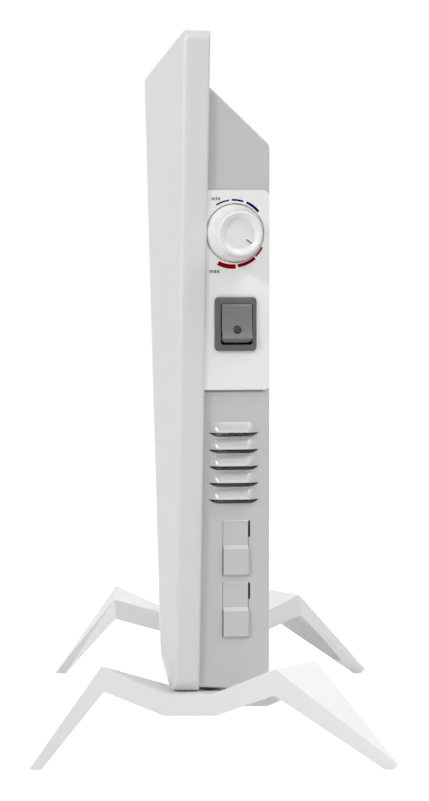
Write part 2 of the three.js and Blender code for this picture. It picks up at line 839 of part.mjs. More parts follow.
// ---- thermostat ----------------------------------------------------------------------------

function thermostatBase() {
  const block = box([-19, -13, -19], [-4.2, 13, 17]);
  return cut(block, [
    box([-20, -10.5, -14], [-7.4, 10.5, 14.5]),
    rod(5.1, -9, -3, 'x', [0, 0, 0], 16),
    ...[-7.1, 7.4].map((y) => box([-17, y - 3.5, -22], [-15.2, y + 3.5, -12])),
  ]);
}

function spindleBush() {
  return turned([
    [2.8, -8.6], [6.4, -8.6], [6.4, -7.8], [4.8, -7.8], [4.8, -3.9], [4, -3.9], [4, 3.6], [2.8, 3.6],
    [2.8, -8.6],
  ], 'x', [0, 0, 0], 16);
}

function spindleNut() {
  return turned([[4.3, gap], [6.4, gap], [6.4, 2.6], [4.3, 2.6], [4.3, gap]], 'x', [0, 0, 0], 6)
    .subtract(rod(4.3, 0, 3, 'x', [0, 0, 0], 20));
}

function thermostatSpindle() {
  const shaft = rod(2.5, -14.6, knob.height - 1.6, 'x', [0, 0, 0], 16);
  return shaft.subtract(box([5, -3, 1.7], [30, 3, 4]));
}

// A snail cam at the spindle's inner end lifts the contact arm.
function thermostatCam() {
  const points = [];
  const steps = 20;
  for (let step = 0; step < steps; step += 1) {
    const angle = (step / steps) * Math.PI * 2;
    const radius = 5 + 2.4 * (step / steps);
    points.push([radius * Math.cos(angle), radius * Math.sin(angle)]);
  }
  return alongX(outline(points), -13.8, -11.4).subtract(rod(2.7, -16, -9, 'x', [0, 0, 0], 20));
}

// The bimetal strip and the blade terminal that it is riveted to.
function bimetalBlade() {
  const terminal = box([-16.5, -11.1 + 0.9, -28], [-15.7, -4, -11]);
  const foot = box([-18.2, -9.5, -13], [-15.8, -4.5, -11]);
  const strip = box([-18.2, -9.5, -12.8], [-17.6, -4.5, 12]);
  return join([terminal, foot, strip]);
}

// The sprung arm that the cam sets, with its contact and its blade terminal.
function contactArm() {
  const terminal = box([-16.5, 4.6, -28], [-15.7, 10.2, -11]);
  const arm = alongY(outline([
    [-16.5, -12], [-15.7, -12], [-15, 0], [-15, 9], [-15.8, 9], [-15.8, 0],
  ].reverse()), 5, 9);
  return terminal.add(arm);
}

// ---- heating -------------------------------------------------------------------------------

function elementProfile() {
  const { left, right, halfHeight, finReach, finCount } = element;
  const parts = [
    box([left, -1, -halfHeight], [right, 1, halfHeight]),
    rod(7, left, right, 'x', [0, 0, 0], 16),
  ];
  for (let item = 0; item < finCount; item += 1) {
    const z = (item - (finCount - 1) / 2) * (2 * halfHeight - 1.4) / (finCount - 1);
    const reach = finReach - 3 * Math.abs(z) / halfHeight;
    parts.push(box([left, -reach, z - 0.7], [right, reach, z + 0.7]));
  }
  return join(parts).subtract(rod(4.3, left - 2, right + 2, 'x', [0, 0, 0], 16));
}

// The sheathed rod, with a tab terminal welded to the pin at each end.
function elementRod() {
  const { left, right } = element;
  const tabs = [left - 20, right + 20].map((at) => box([at - 0.4, -3.2, -4], [at + 0.4, 3.2, 16]));
  const start = [[0, left - 24], [1.5, left - 24], [1.5, left - 18], [3, left - 18], [3, left - 14]];
  const end = [[3, right + 14], [3, right + 18], [1.5, right + 18], [1.5, right + 24], [0, right + 24]];
  const sheath = turned([...start, [4, left - 14], [4, right + 14], ...end], 'x', [0, 0, 0], 12);
  return join([sheath, ...tabs]);
}

// A flanged ceramic bush through a bracket. end is +1 for the right, -1 for the left.
function elementBush(end) {
  const at = end > 0 ? element.right : element.left;
  const profile = [
    [4.3, 0.4], [9, 0.4], [9, 2.4], [6.8, 2.4], [6.8, 7], [4.3, 7], [4.3, 0.4],
  ];
  const bush = turned(profile, 'x', [0, 0, 0], 16);
  const turnedBush = end > 0 ? bush : mirrored(bush);
  return turnedBush.translate([at, 0, 0]);
}

// A bracket between the element and the back panel, folded at its rear edge.
function elementBracket(end) {
  const at = end > 0 ? element.right : element.left;
  const web = box([2.8, -14, -24], [4, 31.2 - sheet - element.y - gap, 24]);
  const rearY = casing.rearY - backInset - sheet - gap - element.y;
  const lip = box([2.8, rearY - sheet, -24], [14, rearY, 24]);
  const hole = rod(7.1, 0, 8, 'x', [0, 0, 0], 16);
  const window = box([2, 14, -14], [5, 24, 14]);
  const holes = [-17, 17].map((z) => rod(1.8, 20, 40, 'y', [9.5, 0, z], 10));
  const bracket = cut(join([web.intersect(box([0, -30, -30], [20, rearY, 30])), lip]),
    [hole, window, ...holes]);
  const placed = end > 0 ? bracket : mirrored(bracket);
  return placed.translate([at, 0, 0]);
}

// ---- other inner pieces --------------------------------------------------------------------

const cutout = { x: 110, y: 10, z: 200 };

function thermalCutout() {
  const { x, y, z } = cutout;
  const profile = [[0, 0], [7.6, 0], [8, 0.6], [8, 7], [5.5, 7], [5.5, 11], [0, 11]];
  const can = turned(profile, 'y', [x, y, z], 16);
  return can.subtract(box([x - 1.2, y + 9, z - 7], [x + 1.2, y + 12, z + 7]));
}

function cutoutClip() {
  const { x, y, z } = cutout;
  const rear = casing.rearY - backInset - sheet - gap;
  const ring = box([x - 13, y + 3, z - 11], [x + 13, y + 4.2, z + 11]);
  const legs = [x - 12.4, x + 12.4].map((at) => box([at - 0.6, y + 3, z - 4], [at + 0.6, rear, z + 4]));
  const feet = [x - 16, x + 16].map((at) => box([at - 4.2, rear - sheet, z - 4], [at + 4.2, rear, z + 4]));
  return join([ring, ...legs, ...feet]).subtract(rod(8.3, y, y + 9, 'y', [x, 0, z], 20));
}

const block = { x: 168, y: 20, z: 98 };
const clampOffsets = [-13, 0, 13];

function terminalBlock() {
  const { x, y, z } = block;
  const rear = casing.rearY - backInset - sheet - gap;
  const body = box([x - 20, y - 8, z - 10], [x + 20, rear, z + 10]);
  const entries = clampOffsets.map((dx) => rod(2.4, z - 12, z + 12, 'z', [x + dx, y - 1, 0], 8));
  const wells = clampOffsets.flatMap((dx) =>
    [-5, 5].map((dz) => rod(2.7, y - 10, y - 0.6, 'y', [x + dx, 0, z + dz], 8)));
  const barriers = [x - 6.5, x + 6.5].map((at) => box([at - 1, y - 9, z - 10.5], [at + 1, y - 5, z + 10.5]));
  return cut(join([body, ...barriers]), [...entries, ...wells]);
}

// A brass barrel with its two clamping screws.
function terminalClamp(offset) {
  const { x, y, z } = block;
  const centre = x + offset;
  const barrel = rod(2.1, z - 8, z + 8, 'z', [centre, y - 1, 0], 8);
  const screws = [-5, 5].map((dz) => rod(2.2, y - 7, y - 1, 'y', [centre, 0, z + dz], 8)
    .subtract(box([centre - 3, y - 8, z + dz - 0.35], [centre + 3, y - 6.4, z + dz + 0.35])));
  return join([barrel, ...screws]);
}

function cordGland() {
  const outerY = casing.rearY - backInset;
  return turned([
    [3.8, outerY - 9], [6.8, outerY - 9], [7, outerY - 2.2], [6.9, outerY + gap], [10, outerY + gap],
    [10, outerY + 1.2], [9.2, outerY + 1.9], [4.6, outerY + 1.9], [3.8, outerY + 1.1], [3.8, outerY - 9],
  ], 'y', [gland.x, 0, gland.z], 16);
}

const earth = { x: 120, z: 84 };

function earthStud() {
  const rear = casing.rearY - backInset - sheet - gap;
  return turned([
    [0, rear - 13], [2, rear - 13], [2, rear - 1], [4, rear - 1], [4, rear], [0, rear],
  ], 'y', [earth.x, 0, earth.z], 12);
}

function earthNut() {
  const rear = casing.rearY - backInset - sheet - gap;
  const nut = turned([
    [2.3, rear - 5.6], [4, rear - 5.6], [4, rear - 2.1], [2.3, rear - 2.1], [2.3, rear - 5.6],
  ], 'y', [earth.x, 0, earth.z], 6);
  const washer = turned([
    [2.3, rear - 2.2], [4.6, rear - 2.2], [4.6, rear - 1.3], [2.3, rear - 1.3], [2.3, rear - 2.2],
  ], 'y', [earth.x, 0, earth.z], 16);
  return cut(join([nut, washer]), [rod(2.3, rear - 8, rear, 'y', [earth.x, 0, earth.z], 12)]);
}

// A shield behind the heated face, stiffened by three upright swages.
function heatShield() {
  const front = -22;
  const thickness = 0.8;
  const swageDepth = 2.2;
  const line = [[-196, front]];
  for (const x of [-120, 0, 120]) {
    line.push([x - 9, front], [x - 7, front - swageDepth], [x + 7, front - swageDepth], [x + 9, front]);
  }
  line.push([196, front]);
  const section = outline([...line, ...line.map(([x, y]) => [x, y + thickness]).reverse()]);
  const geometry = new THREE.ExtrudeGeometry(section, { depth: 308, bevelEnabled: false });
  geometry.translate(0, 0, 84);
  return join([solid(geometry), ...shieldPosts()]);
}

// Stand-offs on the shield that reach back to the back panel, past the element.
function shieldPosts() {
  const rear = casing.rearY - backInset - sheet - gap;
  return [-180, 180].flatMap((x) => [236, 368].map((z) =>
    rod(3, -21.6, rear, 'y', [x, 0, z], 8)));
}

// Plates inside the casing that the foot screws bite into.
function footPlate(side) {
  const low = casingProfile[0][1] + backInset + sheet + gap;
  const plate = box([190, -24.6, low], [214, 2, low + 1.6]);
  const collars = footScrewPlaces(1).map(([x, y]) => rod(4, low, low + 5, 'z', [x, y, 0], 12));
  const holes = footScrewPlaces(1).map(([x, y]) => rod(2.3, 40, 70, 'z', [x, y, 0], 12));
  const body = cut(join([plate, ...collars]), holes);
  return side > 0 ? body : mirrored(body);
}

function casingScrew(side, z) {
  const rear = casing.rearY / Math.cos(casing.draft);
  const x = casing.wallX - 6 * Math.cos(casing.draft) - rear * Math.sin(casing.draft);
  return turned([
    [0, casing.rearY - 5], [1.1, casing.rearY - 5], [1.1, casing.rearY - 1], [2.5, casing.rearY + 0.2],
    [1.4, casing.rearY + 0.5], [0, casing.rearY + 0.6],
  ], 'y', [side * (x + 0.4), 0, z], 12);
}

// ---- wiring --------------------------------------------------------------------------------

const conductor = 1.3;                  // radius over the sleeve
const wireSteps = 2;                    // rings for each point of a route

function wires() {
  const elementRight = [element.right + 20, element.y, element.z + 17.6];
  return [
    ['wire_live', paint.live, [
      [block.x - 13, block.y - 1, block.z + 11], [158, 17, 113.6], [172, 17, 114.4], [188, 18, 124],
      [193, 20, 190], [197, 16, 235], [195.4, 16, 258], [195.2, 16.4, 261],
    ]],
    ['wire_switched', paint.inner, [
      [194.6, 16.6, 278.4], [190, 17, 284], [188, 8, 290], [203, 4, 293.5], [205.6, 3, 295.6],
    ]],
    ['wire_cutout', paint.inner, [
      [cutout.x, cutout.y + 12.6, cutout.z + 3], [cutout.x, 24, cutout.z + 8], [150, 22, 226],
      [188, 10, 262], [198, 16, 280], [200.5, 18.8, 290], [203.4, 18.7, 295.6],
    ]],
    ['wire_element', paint.inner, [
      [cutout.x, cutout.y + 12.6, cutout.z - 3], [cutout.x + 6, 24, cutout.z - 9], [150, 20, 186],
      [180, 6, 176], [elementRight[0], elementRight[1], elementRight[2] + 4], elementRight,
    ]],
    ['wire_neutral', paint.neutral, [
      [block.x, block.y - 1, block.z - 11], [block.x - 4, 16, 78], [120, 8, 72], [0, 0, 70], [-150, 0, 74],
      [-204, 0, 100], [element.left - 20, element.y, 130], [element.left - 20, element.y, 137.4],
    ]],
    ['wire_earth', paint.earth, [
      [block.x + 13, block.y - 1, block.z - 11], [block.x + 8, 19, 78], [150, 14, 72], [132, 21, 76],
      [earth.x + 5.6, 24, earth.z - 1],
    ]],
  ];
}

// ---- assembly ------------------------------------------------------------------------------

// Right side panel with its controls, leaning with the casing's draft.
function rightSide() {
  const group = new THREE.Group();
  group.position.set(casing.wallX, 0, 0);
  group.rotation.z = casing.draft;
  const { switchY, switchZ } = controls;
  group.add(piece('side_panel_right', sidePanelRight(), paint.grey));
  group.add(piece('control_plate', controlPlate(), paint.plate));
  group.add(piece('switch_housing', switchHousing(), paint.bezel));
  terminalOffsets.forEach((offset, item) =>
    group.add(piece(`switch_terminal_${item + 1}`, switchTerminal(offset), paint.brass)));
  group.add(thermostat());
  group.add(rockerGroup(switchY, switchZ));
  group.add(contactGroup(switchY, switchZ));
  return group;
}

function thermostat() {
  const group = new THREE.Group();
  group.position.set(0, controls.knobY, controls.knobZ);
  const standing = [
    piece('thermostat_base', thermostatBase(), paint.phenolic),
    piece('spindle_bush', spindleBush(), paint.brass),
    piece('spindle_nut', spindleNut(), paint.steel),
    piece('bimetal_blade', bimetalBlade(), paint.brass),
    piece('contact_arm', contactArm(), paint.brass),
  ];
  const turning = new THREE.Group();
  const lift = gap + controls.plateThickness;
  const cap = piece('thermostat_knob', knobBody(), paint.knob);
  cap.position.x = lift;
  turning.add(cap);
  turning.add(piece('thermostat_spindle', thermostatSpindle(), paint.steel));
  turning.add(piece('thermostat_cam', thermostatCam(), paint.nylon));
  group.add(...standing, turning);
  return group;
}

function rockerGroup(y, z) {
  const group = new THREE.Group();
  group.position.set(rocker.pivotX, y, z);
  group.rotation.y = rocker.restTilt;
  group.add(piece('switch_rocker', rockerBody(), paint.rocker));
  group.add(piece('indicator_lens', indicatorLens(), paint.lens));
  group.add(piece('rocker_plunger', rockerPlunger(), paint.brass));
  group.add(piece('plunger_spring', plungerSpring(), paint.steel));
  return group;
}

function contactGroup(y, z) {
  const group = new THREE.Group();
  group.position.set(contactBar.pivotX, y, z);
  group.rotation.y = contactBar.restTilt;
  group.add(piece('contact_bar', contactBarBody(), paint.brass));
  return group;
}

function leftSide() {
  const group = new THREE.Group();
  group.position.set(-casing.wallX, 0, 0);
  group.rotation.z = -casing.draft;
  group.add(piece('side_panel_left', sidePanelLeft(), paint.grey));
  return group;
}

function heating() {
  const group = new THREE.Group();
  group.position.set(0, element.y, element.z);
  group.add(piece('element_profile', elementProfile(), paint.aluminium));
  group.add(piece('element_rod', elementRod(), paint.steel));
  for (const [name, end] of [['right', 1], ['left', -1]]) {
    group.add(piece(`element_bush_${name}`, elementBush(end), paint.ceramic));
    group.add(piece(`element_bracket_${name}`, elementBracket(end), paint.steel));
  }
  return group;
}

function innerPieces() {
  const group = new THREE.Group();
  group.add(piece('heat_shield', heatShield(), paint.steel));
  group.add(piece('thermal_cutout', thermalCutout(), paint.phenolic));
  group.add(piece('cutout_clip', cutoutClip(), paint.steel));
  group.add(piece('terminal_block', terminalBlock(), paint.nylon));
  clampOffsets.forEach((offset, item) =>
    group.add(piece(`terminal_clamp_${item + 1}`, terminalClamp(offset), paint.brass)));
  group.add(piece('cord_gland', cordGland(), paint.nylon));
  group.add(piece('earth_stud', earthStud(), paint.brass));
  group.add(piece('earth_nut', earthNut(), paint.brass));
  for (const [name, finish, points] of wires()) {
    group.add(piece(name, wire(points, conductor, points.length * wireSteps, 6), finish));
  }
  return group;
}

function feet() {
  const group = new THREE.Group();
  group.add(piece('foot_right', footBody(), paint.white));
  group.add(piece('foot_left', mirrored(footBody()), paint.white));
  group.add(piece('foot_plate_right', footPlate(1), paint.steel));
  group.add(piece('foot_plate_left', footPlate(-1), paint.steel));
  for (const [name, side] of [['right', 1], ['left', -1]]) {
    footScrewPlaces(side).forEach((place, item) => {
      const end = ['rear', 'front'][item];
      group.add(piece(`foot_screw_${name}_${end}`, footScrew(place), paint.steel));
    });
  }
  return group;
}

function casingScrews() {
  const group = new THREE.Group();
  for (const [name, side] of [['right', 1], ['left', -1]]) {
    rearScrewZ.forEach((z, item) => {
      const end = ['lower', 'upper'][item];
      group.add(piece(`casing_screw_${name}_${end}`, casingScrew(side, z), paint.steel));
    });
  }
  return group;
}

const heater = new THREE.Group();
heater.position.x = -centreShift;
heater.add(piece('front_panel', frontPanel(), paint.white));
heater.add(piece('back_panel', backPanel(), paint.grey));
heater.add(rightSide(), leftSide(), heating(), innerPieces(), feet(), casingScrews());

export default heater;
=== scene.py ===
import json
import math

import bmesh
import bpy
from mathutils import Matrix, Vector


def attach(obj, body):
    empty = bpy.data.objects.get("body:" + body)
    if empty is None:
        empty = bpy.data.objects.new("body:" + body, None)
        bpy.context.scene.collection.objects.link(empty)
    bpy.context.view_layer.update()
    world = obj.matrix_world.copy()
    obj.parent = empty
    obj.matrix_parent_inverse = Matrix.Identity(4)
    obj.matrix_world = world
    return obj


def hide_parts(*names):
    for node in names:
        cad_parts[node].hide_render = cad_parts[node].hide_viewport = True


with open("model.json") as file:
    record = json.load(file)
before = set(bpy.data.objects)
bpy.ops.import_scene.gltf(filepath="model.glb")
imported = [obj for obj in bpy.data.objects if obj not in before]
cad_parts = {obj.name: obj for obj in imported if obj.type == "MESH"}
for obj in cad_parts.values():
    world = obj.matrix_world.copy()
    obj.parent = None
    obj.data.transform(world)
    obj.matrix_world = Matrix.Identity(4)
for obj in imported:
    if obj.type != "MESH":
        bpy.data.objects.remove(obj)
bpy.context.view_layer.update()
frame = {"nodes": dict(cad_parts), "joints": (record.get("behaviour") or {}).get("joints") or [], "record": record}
mm = 0.001
hair = 0.00001     # places nearer than this count as the same
joints = {joint["name"]: joint for joint in frame["joints"]}
print("frame loaded:", len(frame["nodes"]), "nodes")


# places taken from the frame

def linked(item):  # puts a new object in the scene
    bpy.context.scene.collection.objects.link(item)
    return item


def placeAt(origin, ahead, up=Vector((0, 0, 1))):  # a local frame: x ahead, z up, y across
    across = up.cross(ahead)
    turn = Matrix((ahead, across, up)).transposed().to_4x4()
    return Matrix.Translation(origin) @ turn


def reach(node, place=Matrix.Identity(4)):  # a CAD node's corners seen in a local frame
    back = place.inverted()
    spots = [back @ vertex.co for vertex in frame["nodes"][node].data.vertices]
    low = Vector([min(spot[axis] for spot in spots) for axis in range(3)])
    high = Vector([max(spot[axis] for spot in spots) for axis in range(3)])
    return low, high


wallNormal = Vector(joints["knob_turn"]["axis"]).normalized()
knobPlace = placeAt(Vector(joints["knob_turn"]["pos_m"]), wallNormal)     # zero on the wall's outer face
switchPlace = placeAt(Vector(joints["switch_rock"]["pos_m"]), wallNormal)
rockerLean = -7     # degrees, at rest with its lower end out
rockerPlace = switchPlace @ Matrix.Rotation(math.radians(rockerLean), 4, "Y")
panelLow, panelHigh = reach("front_panel")
middleX = (panelLow.x + panelHigh.x) / 2


# camera

camera = {
    "place": (2.6355, -0.0138, 0.36),
    "down": 3.236,    # degrees
    "aside": 0.332,   # degrees towards the heater's back
    "lens": 179.44,
    "sensor": 36,
}


def makeCamera():
    data = bpy.data.cameras.new("camera")
    data.lens = camera["lens"]
    data.sensor_width = camera["sensor"]
    eye = linked(bpy.data.objects.new("camera", data))
    down = math.radians(camera["down"])
    aside = math.radians(camera["aside"])
    look = Vector((-math.cos(aside) * math.cos(down), math.sin(aside) * math.cos(down), -math.sin(down)))
    eye.location = camera["place"]
    eye.rotation_mode = "QUATERNION"
    eye.rotation_quaternion = look.to_track_quat("-Z", "Y")
    bpy.context.scene.camera = eye


makeCamera()


# materials

patternRange = (0.3, 0.7)     # the part of a noise pattern's values that is used
smearScale = 5                # how much finer roughness varies than colour


def nodesOf(name):
    material = bpy.data.materials.new(name)
    material.use_nodes = True
    tree = material.node_tree
    shader = tree.nodes["Principled BSDF"]
    place = tree.nodes.new("ShaderNodeTexCoord")
    return material, tree, shader, place.outputs["Object"]


def noise(tree, place, scale, detail, stretch=(1, 1, 1)):
    mapping = tree.nodes.new("ShaderNodeMapping")
    mapping.inputs["Scale"].default_value = stretch
    tree.links.new(place, mapping.inputs["Vector"])
    pattern = tree.nodes.new("ShaderNodeTexNoise")
    pattern.inputs["Scale"].default_value = scale
    pattern.inputs["Detail"].default_value = detail
    tree.links.new(mapping.outputs["Vector"], pattern.inputs["Vector"])
    return pattern.outputs["Fac"]


def spread(tree, value, low, high):  # maps a pattern to a range
    step = tree.nodes.new("ShaderNodeMapRange")
    step.inputs["From Min"].default_value = patternRange[0]
    step.inputs["From Max"].default_value = patternRange[1]
    step.inputs["To Min"].default_value = low
    step.inputs["To Max"].default_value = high
    tree.links.new(value, step.inputs["Value"])
    return step.outputs["Result"]


def tint(tree, value, dark, light):  # maps a pattern to two colours
    ramp = tree.nodes.new("ShaderNodeValToRGB")
    for stop, position, colour in zip(ramp.color_ramp.elements, patternRange, (dark, light)):
        stop.position = position
        stop.color = (*colour, 1)
    tree.links.new(value, ramp.inputs["Fac"])
    return ramp.outputs["Color"]


def bump(tree, shader, value, height):
    relief = tree.nodes.new("ShaderNodeBump")
    relief.inputs["Strength"].default_value = 1.0
    relief.inputs["Distance"].default_value = height
    tree.links.new(value, relief.inputs["Height"])
    tree.links.new(relief.outputs["Normal"], shader.inputs["Normal"])


def surface(name, base, change, rough, grain, depth, mottle=14, metallic=0.0, stretch=(1, 1, 1), specular=0.5):
    material, tree, shader, place = nodesOf(name)
    cloudy = noise(tree, place, mottle, 3)
    dark = [channel * (1 - change) for channel in base]
    light = [min(1, channel * (1 + change)) for channel in base]
    tree.links.new(tint(tree, cloudy, dark, light), shader.inputs["Base Color"])
    fine = noise(tree, place, grain, 2, stretch)
    smear = noise(tree, place, mottle * smearScale, 2, stretch)
    tree.links.new(spread(tree, smear, *rough), shader.inputs["Roughness"])
    bump(tree, shader, fine, depth)
    shader.inputs["Metallic"].default_value = metallic
    shader.inputs["Specular IOR Level"].default_value = specular
    return material


finishes = {     # colour and its change, roughness from and to, relief's fineness and depth in metres
    "white_enamel": dict(base=(0.7, 0.7, 0.695), change=0.003, rough=(0.28, 0.32), grain=1100,
                         depth=0.000004),
    "foot_enamel": dict(base=(0.86, 0.86, 0.852), change=0.003, rough=(0.28, 0.32), grain=1100,
                        depth=0.000004),
    "grey_enamel": dict(base=(0.585, 0.585, 0.57), change=0.003, rough=(0.16, 0.19), grain=1100,
                        depth=0.000004),
    "plate_plastic": dict(base=(0.9, 0.9, 0.89), change=0.005, rough=(0.28, 0.34), grain=1500, depth=0.000003),
    "knob_plastic": dict(base=(0.84, 0.84, 0.83), change=0.005, rough=(0.22, 0.28), grain=1500, depth=0.000003),
    "bezel_plastic": dict(base=(0.1, 0.1, 0.1), change=0.06, rough=(0.28, 0.36), grain=2600, depth=0.00003),
    "rocker_plastic": dict(base=(0.185, 0.18, 0.175), change=0.05, rough=(0.24, 0.32), grain=2600,
                           depth=0.00002),
    "lens_plastic": dict(base=(0.006, 0.02, 0.015), change=0.2, rough=(0.1, 0.18), grain=1800, depth=0.00002),
    "zinc_steel": dict(base=(0.6, 0.61, 0.63), change=0.08, rough=(0.28, 0.45), grain=260, depth=0.00002,
                       metallic=1.0, mottle=40),
    "brass": dict(base=(0.72, 0.53, 0.22), change=0.08, rough=(0.22, 0.38), grain=600, depth=0.00001,
                  metallic=1.0, mottle=60),
    "aluminium": dict(base=(0.72, 0.73, 0.74), change=0.05, rough=(0.3, 0.45), grain=900, depth=0.00003,
                      metallic=1.0, stretch=(0.04, 1, 1)),
    "ceramic": dict(base=(0.8, 0.75, 0.64), change=0.05, rough=(0.55, 0.7), grain=1400, depth=0.00004),
    "phenolic": dict(base=(0.06, 0.035, 0.025), change=0.15, rough=(0.4, 0.55), grain=1600, depth=0.00003),
    "black_nylon": dict(base=(0.03, 0.03, 0.03), change=0.12, rough=(0.45, 0.6), grain=2200, depth=0.00003),
    "sleeve_brown": dict(base=(0.16, 0.06, 0.025), change=0.1, rough=(0.4, 0.5), grain=900, depth=0.00002),
    "sleeve_red": dict(base=(0.3, 0.04, 0.02), change=0.1, rough=(0.4, 0.5), grain=900, depth=0.00002),
    "sleeve_blue": dict(base=(0.02, 0.06, 0.32), change=0.1, rough=(0.4, 0.5), grain=900, depth=0.00002),
    "sleeve_green": dict(base=(0.05, 0.3, 0.05), change=0.1, rough=(0.4, 0.5), grain=900, depth=0.00002),
    "ink_blue": dict(base=(0.005, 0.0, 0.09), change=0.1, rough=(0.8, 0.9), grain=2000, depth=0.00001,
                     specular=0.0),
    "ink_red": dict(base=(0.27, 0.0, 0.003), change=0.08, rough=(0.8, 0.9), grain=2000, depth=0.00001,
                    specular=0.0),
    "ink_grey": dict(base=(0.03, 0.03, 0.03), change=0.1, rough=(0.8, 0.9), grain=2000, depth=0.00001,
                     specular=0.0),
}
materials = {name: surface(name, **settings) for name, settings in finishes.items()}

for part in frame["record"]["subparts"]:  # every carried-over node takes its own finish
    node = frame["nodes"][part["node"]]
    node.data.materials.clear()
    node.data.materials.append(materials[part["material_slot"]])
print("materials made:", len(materials))


# modelling helpers

sharpAngle = math.radians(35)     # edges steeper than this stay sharp on a piece that isn't rounded
cornerSteps = 8                   # segments in an outline's rounded corner
foldSteps = 5                     # segments in a fold of the sheet
seamWeld = 0.002                  # points of a turned shape nearer than this become one


def finished(name, bm, body, finish, replaced=(), edge=0.0, segments=3, angle=30):
    mesh = bpy.data.meshes.new(name)
    bm.to_mesh(mesh)
    bm.free()
    mesh.materials.append(materials[finish])
    mesh.shade_smooth()
    piece = linked(bpy.data.objects.new(name, mesh))
    if edge:
        rounding = piece.modifiers.new("rounding", "BEVEL")
        rounding.width = edge
        rounding.segments = segments
        rounding.limit_method = "ANGLE"
        rounding.angle_limit = math.radians(angle)
    else:
        mesh.set_sharp_from_angle(angle=sharpAngle)
    shading = piece.modifiers.new("shading", "WEIGHTED_NORMAL")
    shading.keep_sharp = True
    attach(piece, body)
    if replaced:
        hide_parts(*replaced)
    return piece


def merged(bm, part):  # adds one bmesh to another
    mesh = bpy.data.meshes.new("part")
    part.to_mesh(mesh)
    part.free()
    bm.from_mesh(mesh)
    bpy.data.meshes.remove(mesh)
    return bm


def asObject(name, bm):
    mesh = bpy.data.meshes.new(name)
    bm.to_mesh(mesh)
    bm.free()
    return linked(bpy.data.objects.new(name, mesh))


def carved(bm, cutter, operation="DIFFERENCE"):  # the first shape less the second, or what both share
    body = asObject("body", bm)
    tool = asObject("tool", cutter)
    cut = body.modifiers.new("cut", "BOOLEAN")
    cut.operation = operation
    cut.solver = "EXACT"
    cut.object = tool
    bpy.context.view_layer.update()
    ready = body.evaluated_get(bpy.context.evaluated_depsgraph_get())
    result = bmesh.new()
    result.from_mesh(ready.to_mesh())
    ready.to_mesh_clear()
    for item in (body, tool):
        mesh = item.data
        bpy.data.objects.remove(item)
        bpy.data.meshes.remove(mesh)
    return result


def block(low, high):
    bm = bmesh.new()
    bmesh.ops.create_cube(bm, size=1)
    size = [high[axis] - low[axis] for axis in range(3)]
    middle = [(high[axis] + low[axis]) / 2 for axis in range(3)]
    bmesh.ops.scale(bm, vec=size, verts=bm.verts)
    bmesh.ops.translate(bm, vec=middle, verts=bm.verts)
    return bm


def roundedFace(low, high, radii, x):  # a face in the local y-z plane, radii anticlockwise from the low corner
    bm = bmesh.new()
    corners = [(low[0], low[1]), (high[0], low[1]), (high[0], high[1]), (low[0], high[1])]
    verts = [bm.verts.new((x, y, z)) for y, z in corners]
    bm.faces.new(verts)
    for vert, radius in zip(verts, radii):
        bmesh.ops.bevel(bm, geom=[vert], offset=radius, offset_type="OFFSET", segments=cornerSteps,
                        profile=0.5, affect="VERTICES", material=-1)
    return bm


def vertsOf(made):  # the vertices among an operator's results
    return [item for item in made["geom"] if isinstance(item, bmesh.types.BMVert)]


def outward(bm, towards):  # turns a sheet so that its largest face looks the given way
    bmesh.ops.recalc_face_normals(bm, faces=bm.faces)
    bm.normal_update()
    largest = max(bm.faces, key=lambda face: face.calc_area())
    if largest.normal.dot(Vector(towards)) < 0:
        bmesh.ops.reverse_faces(bm, faces=bm.faces)
    bm.normal_update()


def thicken(bm, depth, axis=0):  # pulls every face of a flat shape out along x, or another axis
    made = bmesh.ops.extrude_face_region(bm, geom=bm.faces[:])
    way = [0, 0, 0]
    way[axis] = depth
    bmesh.ops.translate(bm, vec=way, verts=vertsOf(made))
    bmesh.ops.recalc_face_normals(bm, faces=bm.faces)
    return bm


def arc(centre, radius, start, end, steps):  # points as (distance from the axis, place along it)
    points = []
    for step in range(steps + 1):
        angle = math.radians(start + (end - start) * step / steps)
        points.append((centre[0] + radius * math.cos(angle), centre[1] + radius * math.sin(angle)))
    return points


def revolved(profile, steps):  # turns (radius, height) points round the local x axis
    bm = bmesh.new()
    verts = [bm.verts.new((height * mm, radius * mm, 0)) for radius, height in profile]
    edges = [bm.edges.new(pair) for pair in zip(verts, verts[1:])]
    bmesh.ops.spin(bm, geom=verts + edges, cent=(0, 0, 0), axis=(1, 0, 0), angle=math.tau, steps=steps,
                   use_merge=True, use_duplicate=False)
    bmesh.ops.remove_doubles(bm, verts=bm.verts, dist=seamWeld * mm)
    bmesh.ops.recalc_face_normals(bm, faces=bm.faces)
    return bm


def placed(bm, place):
    bmesh.ops.transform(bm, matrix=place, verts=bm.verts)
    return bm


# front panel

pan = {
    "rear": (-9.0, -2.2),       # y of the flange's rear edge, at the bottom and at the top
    "crease": (-23.9, -17.4),   # the same between the flange and the sloping border
    "face": (-32.4, -43.1),     # the same of the front
    "bevel": 30.0,              # width of the sloping border at the sides and the top
    "lowerBevel": 18.7,
    "drop": 1.4,                # the bottom flange ends this far below the CAD panel's
    "corner": 7.0,
    "creaseRound": 2.2,
    "faceRound": 1.6,
    "sheet": 1.2,
    "roll": (2.4, 1.6),         # the rear edge turns in by this much, with this radius
    "rim": (0.3, 60),           # the sheet's cut edge: its rounding, and the degrees it turns at least
    "toe": (6.0, 2.4),          # the lowest part of the flange runs forward: its height and its reach
}


def leaning(plane, z):
    share = (z - panelLow.z) / (panelHigh.z - panelLow.z)
    return (plane[0] + (plane[1] - plane[0]) * share) * mm


